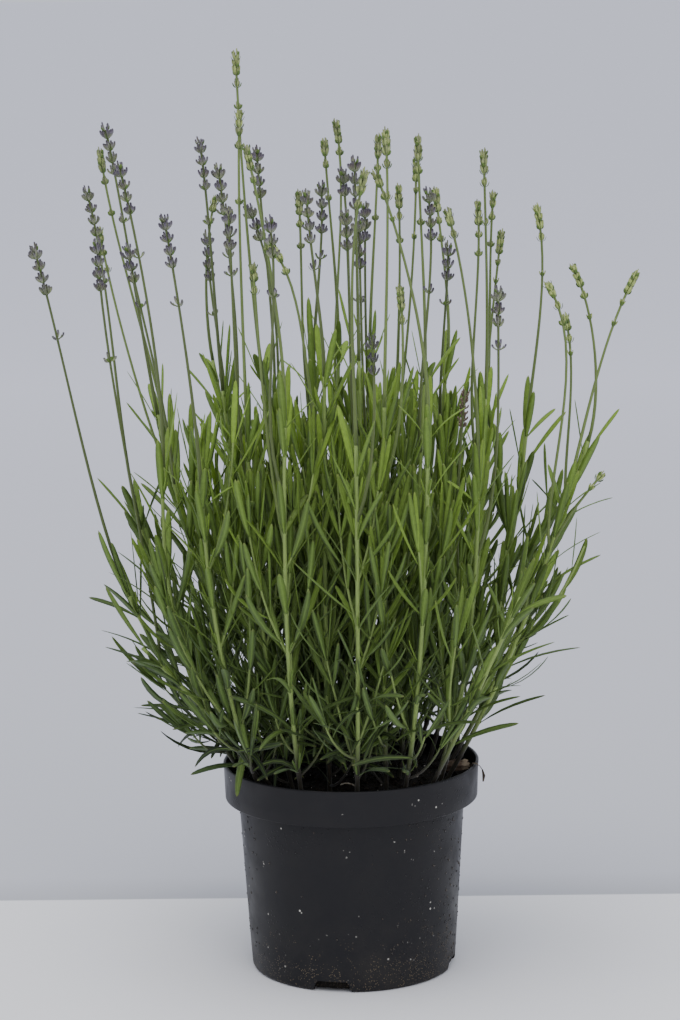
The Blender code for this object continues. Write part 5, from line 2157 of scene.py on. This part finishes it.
def bark_finish():
    finish = Finish("bark", 0.85, Specular_IOR_Level=0.25)
    grain = finish.noise(700, 4, 0.65, finish.stretched((0.25, 1, 1), -CHIP_TURN))
    base = finish.mix(finish.between(grain, 0.35, 0.66), BARK_DARK, BARK_BROWN)
    ragged = finish.plus(finish.axis("X"), finish.times(grain, 0.005))
    pale = finish.between(ragged, *CHIP_PALE_END, 0.0, 0.9)
    finish.colour(finish.mix(pale, base, BARK_PALE))
    finish.bump(grain, 0.0006, 0.8)
    return finish.material


def worn(x, y, z):
    """Where a point of the unit block ends up on the scrap."""
    coarse = noise.noise(Vector((x * 3, y * 3, z * 3 + 9)))
    fine = noise.noise(Vector((x * 9, y * 9, z * 9)))
    ragged = 0.16 * coarse + 0.12 * fine
    pull = 1 - 0.45 * abs(2 * x) ** 2.2
    long, wide, high = CHIP_SIZE
    top = 0.55 + 0.45 * pull - 0.35 * (2 * y) ** 2
    return (
        x * long * (1 + ragged),
        y * wide * pull * (1 + 2 * ragged),
        (z + 0.5) * high * top * (1 + 2 * ragged),
    )


def build_bark():
    mesh = bmesh.new()
    bmesh.ops.create_cube(mesh, size=1)
    bmesh.ops.subdivide_edges(mesh, edges=mesh.edges, cuts=6, use_grid_fill=True)
    for vertex in mesh.verts:
        vertex.co = worn(*vertex.co)
    turned = Matrix.Rotation(CHIP_TURN, 3, "Z") @ Matrix.Rotation(CHIP_TILT, 3, "Y")
    bmesh.ops.rotate(mesh, verts=mesh.verts, cent=(0, 0, 0), matrix=turned)
    foot = Vector((0, 0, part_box("bark_chip")[0][2]))
    bmesh.ops.translate(mesh, verts=mesh.verts, vec=Vector(CHIP_PLACE) + foot)
    bmesh.ops.recalc_face_normals(mesh, faces=mesh.faces)
    bark = piece_of("bark_scrap", mesh, 50)
    bark.data.materials.append(bark_finish())
    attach(bark, "root")
    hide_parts("bark_chip")
    return bark


bark = build_bark()
print("bark", [round(x, 4) for x in bark.dimensions])

# %% [markdown]
# ## The dry leaf
#
# One dry leaf hangs over the rim and curls. It is a thin strip grown section by section over the
# lip and down outside. Cloth simulation could drape it, but a handful of sections is simpler.

# %% Dry leaf
DRY_TURN = math.radians(-14)
DRY_HALF_WIDTH = 0.0018
DRY_THICKNESS = 0.0003
DRY_LIFT = 0.0007
DRY_CURL = 1.25
DRY_DARK = (0.040, 0.030, 0.022)
DRY_BROWN = (0.15, 0.115, 0.080)


def dry_finish():
    finish = Finish("dry_brown_leaf", 0.8, Specular_IOR_Level=0.25)
    vein = finish.noise(500, 4)
    finish.colour(finish.mix(finish.between(vein, 0.35, 0.65), DRY_DARK, DRY_BROWN))
    finish.bump(vein, 0.0004, 0.6)
    return finish.material


def dry_bow():
    """(reach, height, share of the width) along the leaf, from inside the rim to its tip."""
    inside = RIM_RADIUS - WALL * 1.4 - DRY_LIFT
    outside = RIM_RADIUS + DRY_LIFT
    top = POT_HEIGHT + DRY_LIFT
    return [
        (inside - 0.0012, top - 0.0060, 0.45),
        (inside - 0.0006, top - 0.0025, 0.8),
        (inside + 0.0004, top, 0.95),
        (outside - 0.0004, top + 0.0001, 1.0),
        (outside + 0.0022, top - 0.0016, 0.9),
        (outside + 0.0040, top - 0.0045, 0.8),
        (outside + 0.0048, top - 0.0085, 0.9),
        (outside + 0.0044, top - 0.0130, 0.35),
    ]


def build_dry_leaf():
    bow = dry_bow()
    level = Vector((0, 1, 0))
    mesh = bmesh.new()
    face = None
    for i, (reach, height, share) in enumerate(bow):
        before, after = bow[max(0, i - 1)], bow[min(len(bow) - 1, i + 1)]
        run = Vector((after[0] - before[0], 0, after[1] - before[1])).normalized()
        curl = DRY_CURL * max(0, i - 3) / 4
        across = Vector((0, math.cos(curl), 0)) + level.cross(run) * math.sin(curl)
        across.normalize()
        half = across * (DRY_HALF_WIDTH * share)
        out = run.cross(across) * DRY_THICKNESS
        place = Vector((reach, 0.0006 * math.sin(i * 1.3), height + 0.0003))
        face = grow(mesh, face, [place - half, place - out, place + half, place + out])
    close(mesh)
    turn_about(mesh, mesh.verts, "Z", DRY_TURN)
    leaf = piece_of("dry_leaf_scrap", mesh, 60)
    leaf.data.materials.append(dry_finish())
    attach(leaf, "root")
    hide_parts("dry_leaf")
    return leaf


dry_leaf = build_dry_leaf()
print("dry leaf", [round(x, 4) for x in dry_leaf.dimensions])

# %% [markdown]
# ## Roots
#
# Three thin pale roots arch out of the soil in front. Each is a tube along a curve that starts and
# ends just under the surface.

# %% Roots
# Start, highest place and end in centimetres, and the radius.
ROOTS = (
    ((-1.10, -3.55), (-0.15, -2.6), (0.70, -4.20), 0.00055),
    ((-2.60, -5.2), (-2.0, -4.9), (-1.55, -5.35), 0.00040),
    ((1.7, -5.6), (2.2, -5.0), (2.9, -5.5), 0.00040),
)
ROOT_SINK = -0.0008
ROOT_ARCH = 0.0042
ROOT_PALE = (0.50, 0.46, 0.38)
ROOT_DIRT = (0.24, 0.18, 0.12)


def root_finish():
    finish = Finish("pale_root", 0.75, Specular_IOR_Level=0.3)
    finish.colour(finish.mix(finish.patches(450, 3, 0.4, 0.65), ROOT_PALE, ROOT_DIRT))
    finish.bump(finish.noise(900, 2), 0.0002, 0.5)
    return finish.material


def build_roots():
    mesh = bmesh.new()
    for start, over, end, radius in ROOTS:
        places = []
        for flat, lift in ((start, ROOT_SINK), (over, ROOT_ARCH), (end, ROOT_SINK)):
            x, y = flat[0] * CM, flat[1] * CM
            places.append(Vector((x, y, soil_top(x, y) + lift)))
        line = bezier_line(*places, 12)
        stops = even_stops(lengths_along(line)[-1], radius, 12)
        mesh.from_mesh(drawn_tube(line, stops, 6, Vector((0, 0, 1))))
    for face in mesh.faces:
        face.material_index = 0
    roots = piece_of("root_threads", mesh)
    roots.data.materials.append(root_finish())
    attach(roots, "root")


build_roots()
print(len(ROOTS), "roots")

# %% [markdown]
# ## A leaf over the rim
#
# In front, at the left, one broad young leaf hangs over the pot's rim. It is the broad pattern on
# a course of its own.

# %% Rim leaf
RIM_LEAF = ((-6.5, -4.3, 18.9), (-7.45, -5.60, 16.5), (-7.90, -5.95, 13.85))
RIM_LEAF_WIDTH = 0.0062


def build_rim_leaf():
    root, middle, tip = (cm(place) for place in RIM_LEAF)
    side = Vector((0.93, -0.36, 0))
    inward = Vector((-0.7, -0.7, 0.5))
    growth = Growth()
    blade = course(root, middle, tip, side, inward, RIM_LEAF_WIDTH, 0.1, 0.35, 0.42)
    growth.add(blade_pattern, [blade])
    leaf = growth.finish("rim_leaf", PLANT_SURFACES)
    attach(leaf, "root")
    return leaf


rim_leaf = build_rim_leaf()
print("rim leaf", [round(x, 4) for x in rim_leaf.dimensions])

# %% [markdown]
# ## A dried flower head
#
# One spent head has dried brown among the leaf tops at the right. It grows by the same whorl rules,
# short and loose, in a brown finish.

# %% Dried head
DRIED_SEED = 88
DRIED_LOOK = Look(0.0044, 0.0014, 0.0026, 0.0010)
DRIED_FOOT = (7.6, -6.0, 30.0)
DRIED_TOP = (8.2, -6.6, 42.2)
DRIED_PITCH = 0.0042
DRIED_WHORLS = 6
DRIED_DARK = (0.060, 0.042, 0.034)
DRIED_BROWN = (0.20, 0.15, 0.11)
DRIED_TIP = (0.36, 0.31, 0.25)


def dried_finish():
    finish = Finish("dried_calyx", 0.85, Specular_IOR_Level=0.2)
    grain = finish.noise(700, 3)
    base = finish.mix(finish.between(grain, 0.35, 0.65), DRIED_DARK, DRIED_BROWN)
    tip = finish.between(finish.uv("Y"), 0.90, 1.0, 0.0, 0.6)
    finish.colour(finish.mix(tip, base, DRIED_TIP))
    finish.bump(grain, 0.0003, 0.6)
    return finish.material


def build_dried_head():
    chance = random.Random(DRIED_SEED)
    foot, top = cm(DRIED_FOOT), cm(DRIED_TOP)
    control = foot.lerp(top, 0.5) + Vector((-0.004, 0, 0))
    line = bezier_line(foot, control, top, 16)
    stops = even_stops(lengths_along(line)[-1], STALK_RADIUS * 0.75, 8)
    growth = Growth()
    growth.add_body(drawn_tube(line, stops, STALK_SIDES, ALONG_X), 0.5, 0.3)
    for order in range(DRIED_WHORLS):
        scale = 0.9 + 0.05 * order / DRIED_WHORLS
        whorl = Whorl(0.004 + DRIED_PITCH * order, scale, 5, 1.0)
        growth.add(calyx_pattern, whorl_courses(line, whorl, DRIED_LOOK, 0.0, chance)[0])
    head = growth.finish("dried_head", [leaf_surface, stem_surface, dried_finish()])
    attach(head, "root")


build_dried_head()
print("dried head of", DRIED_WHORLS, "whorls")
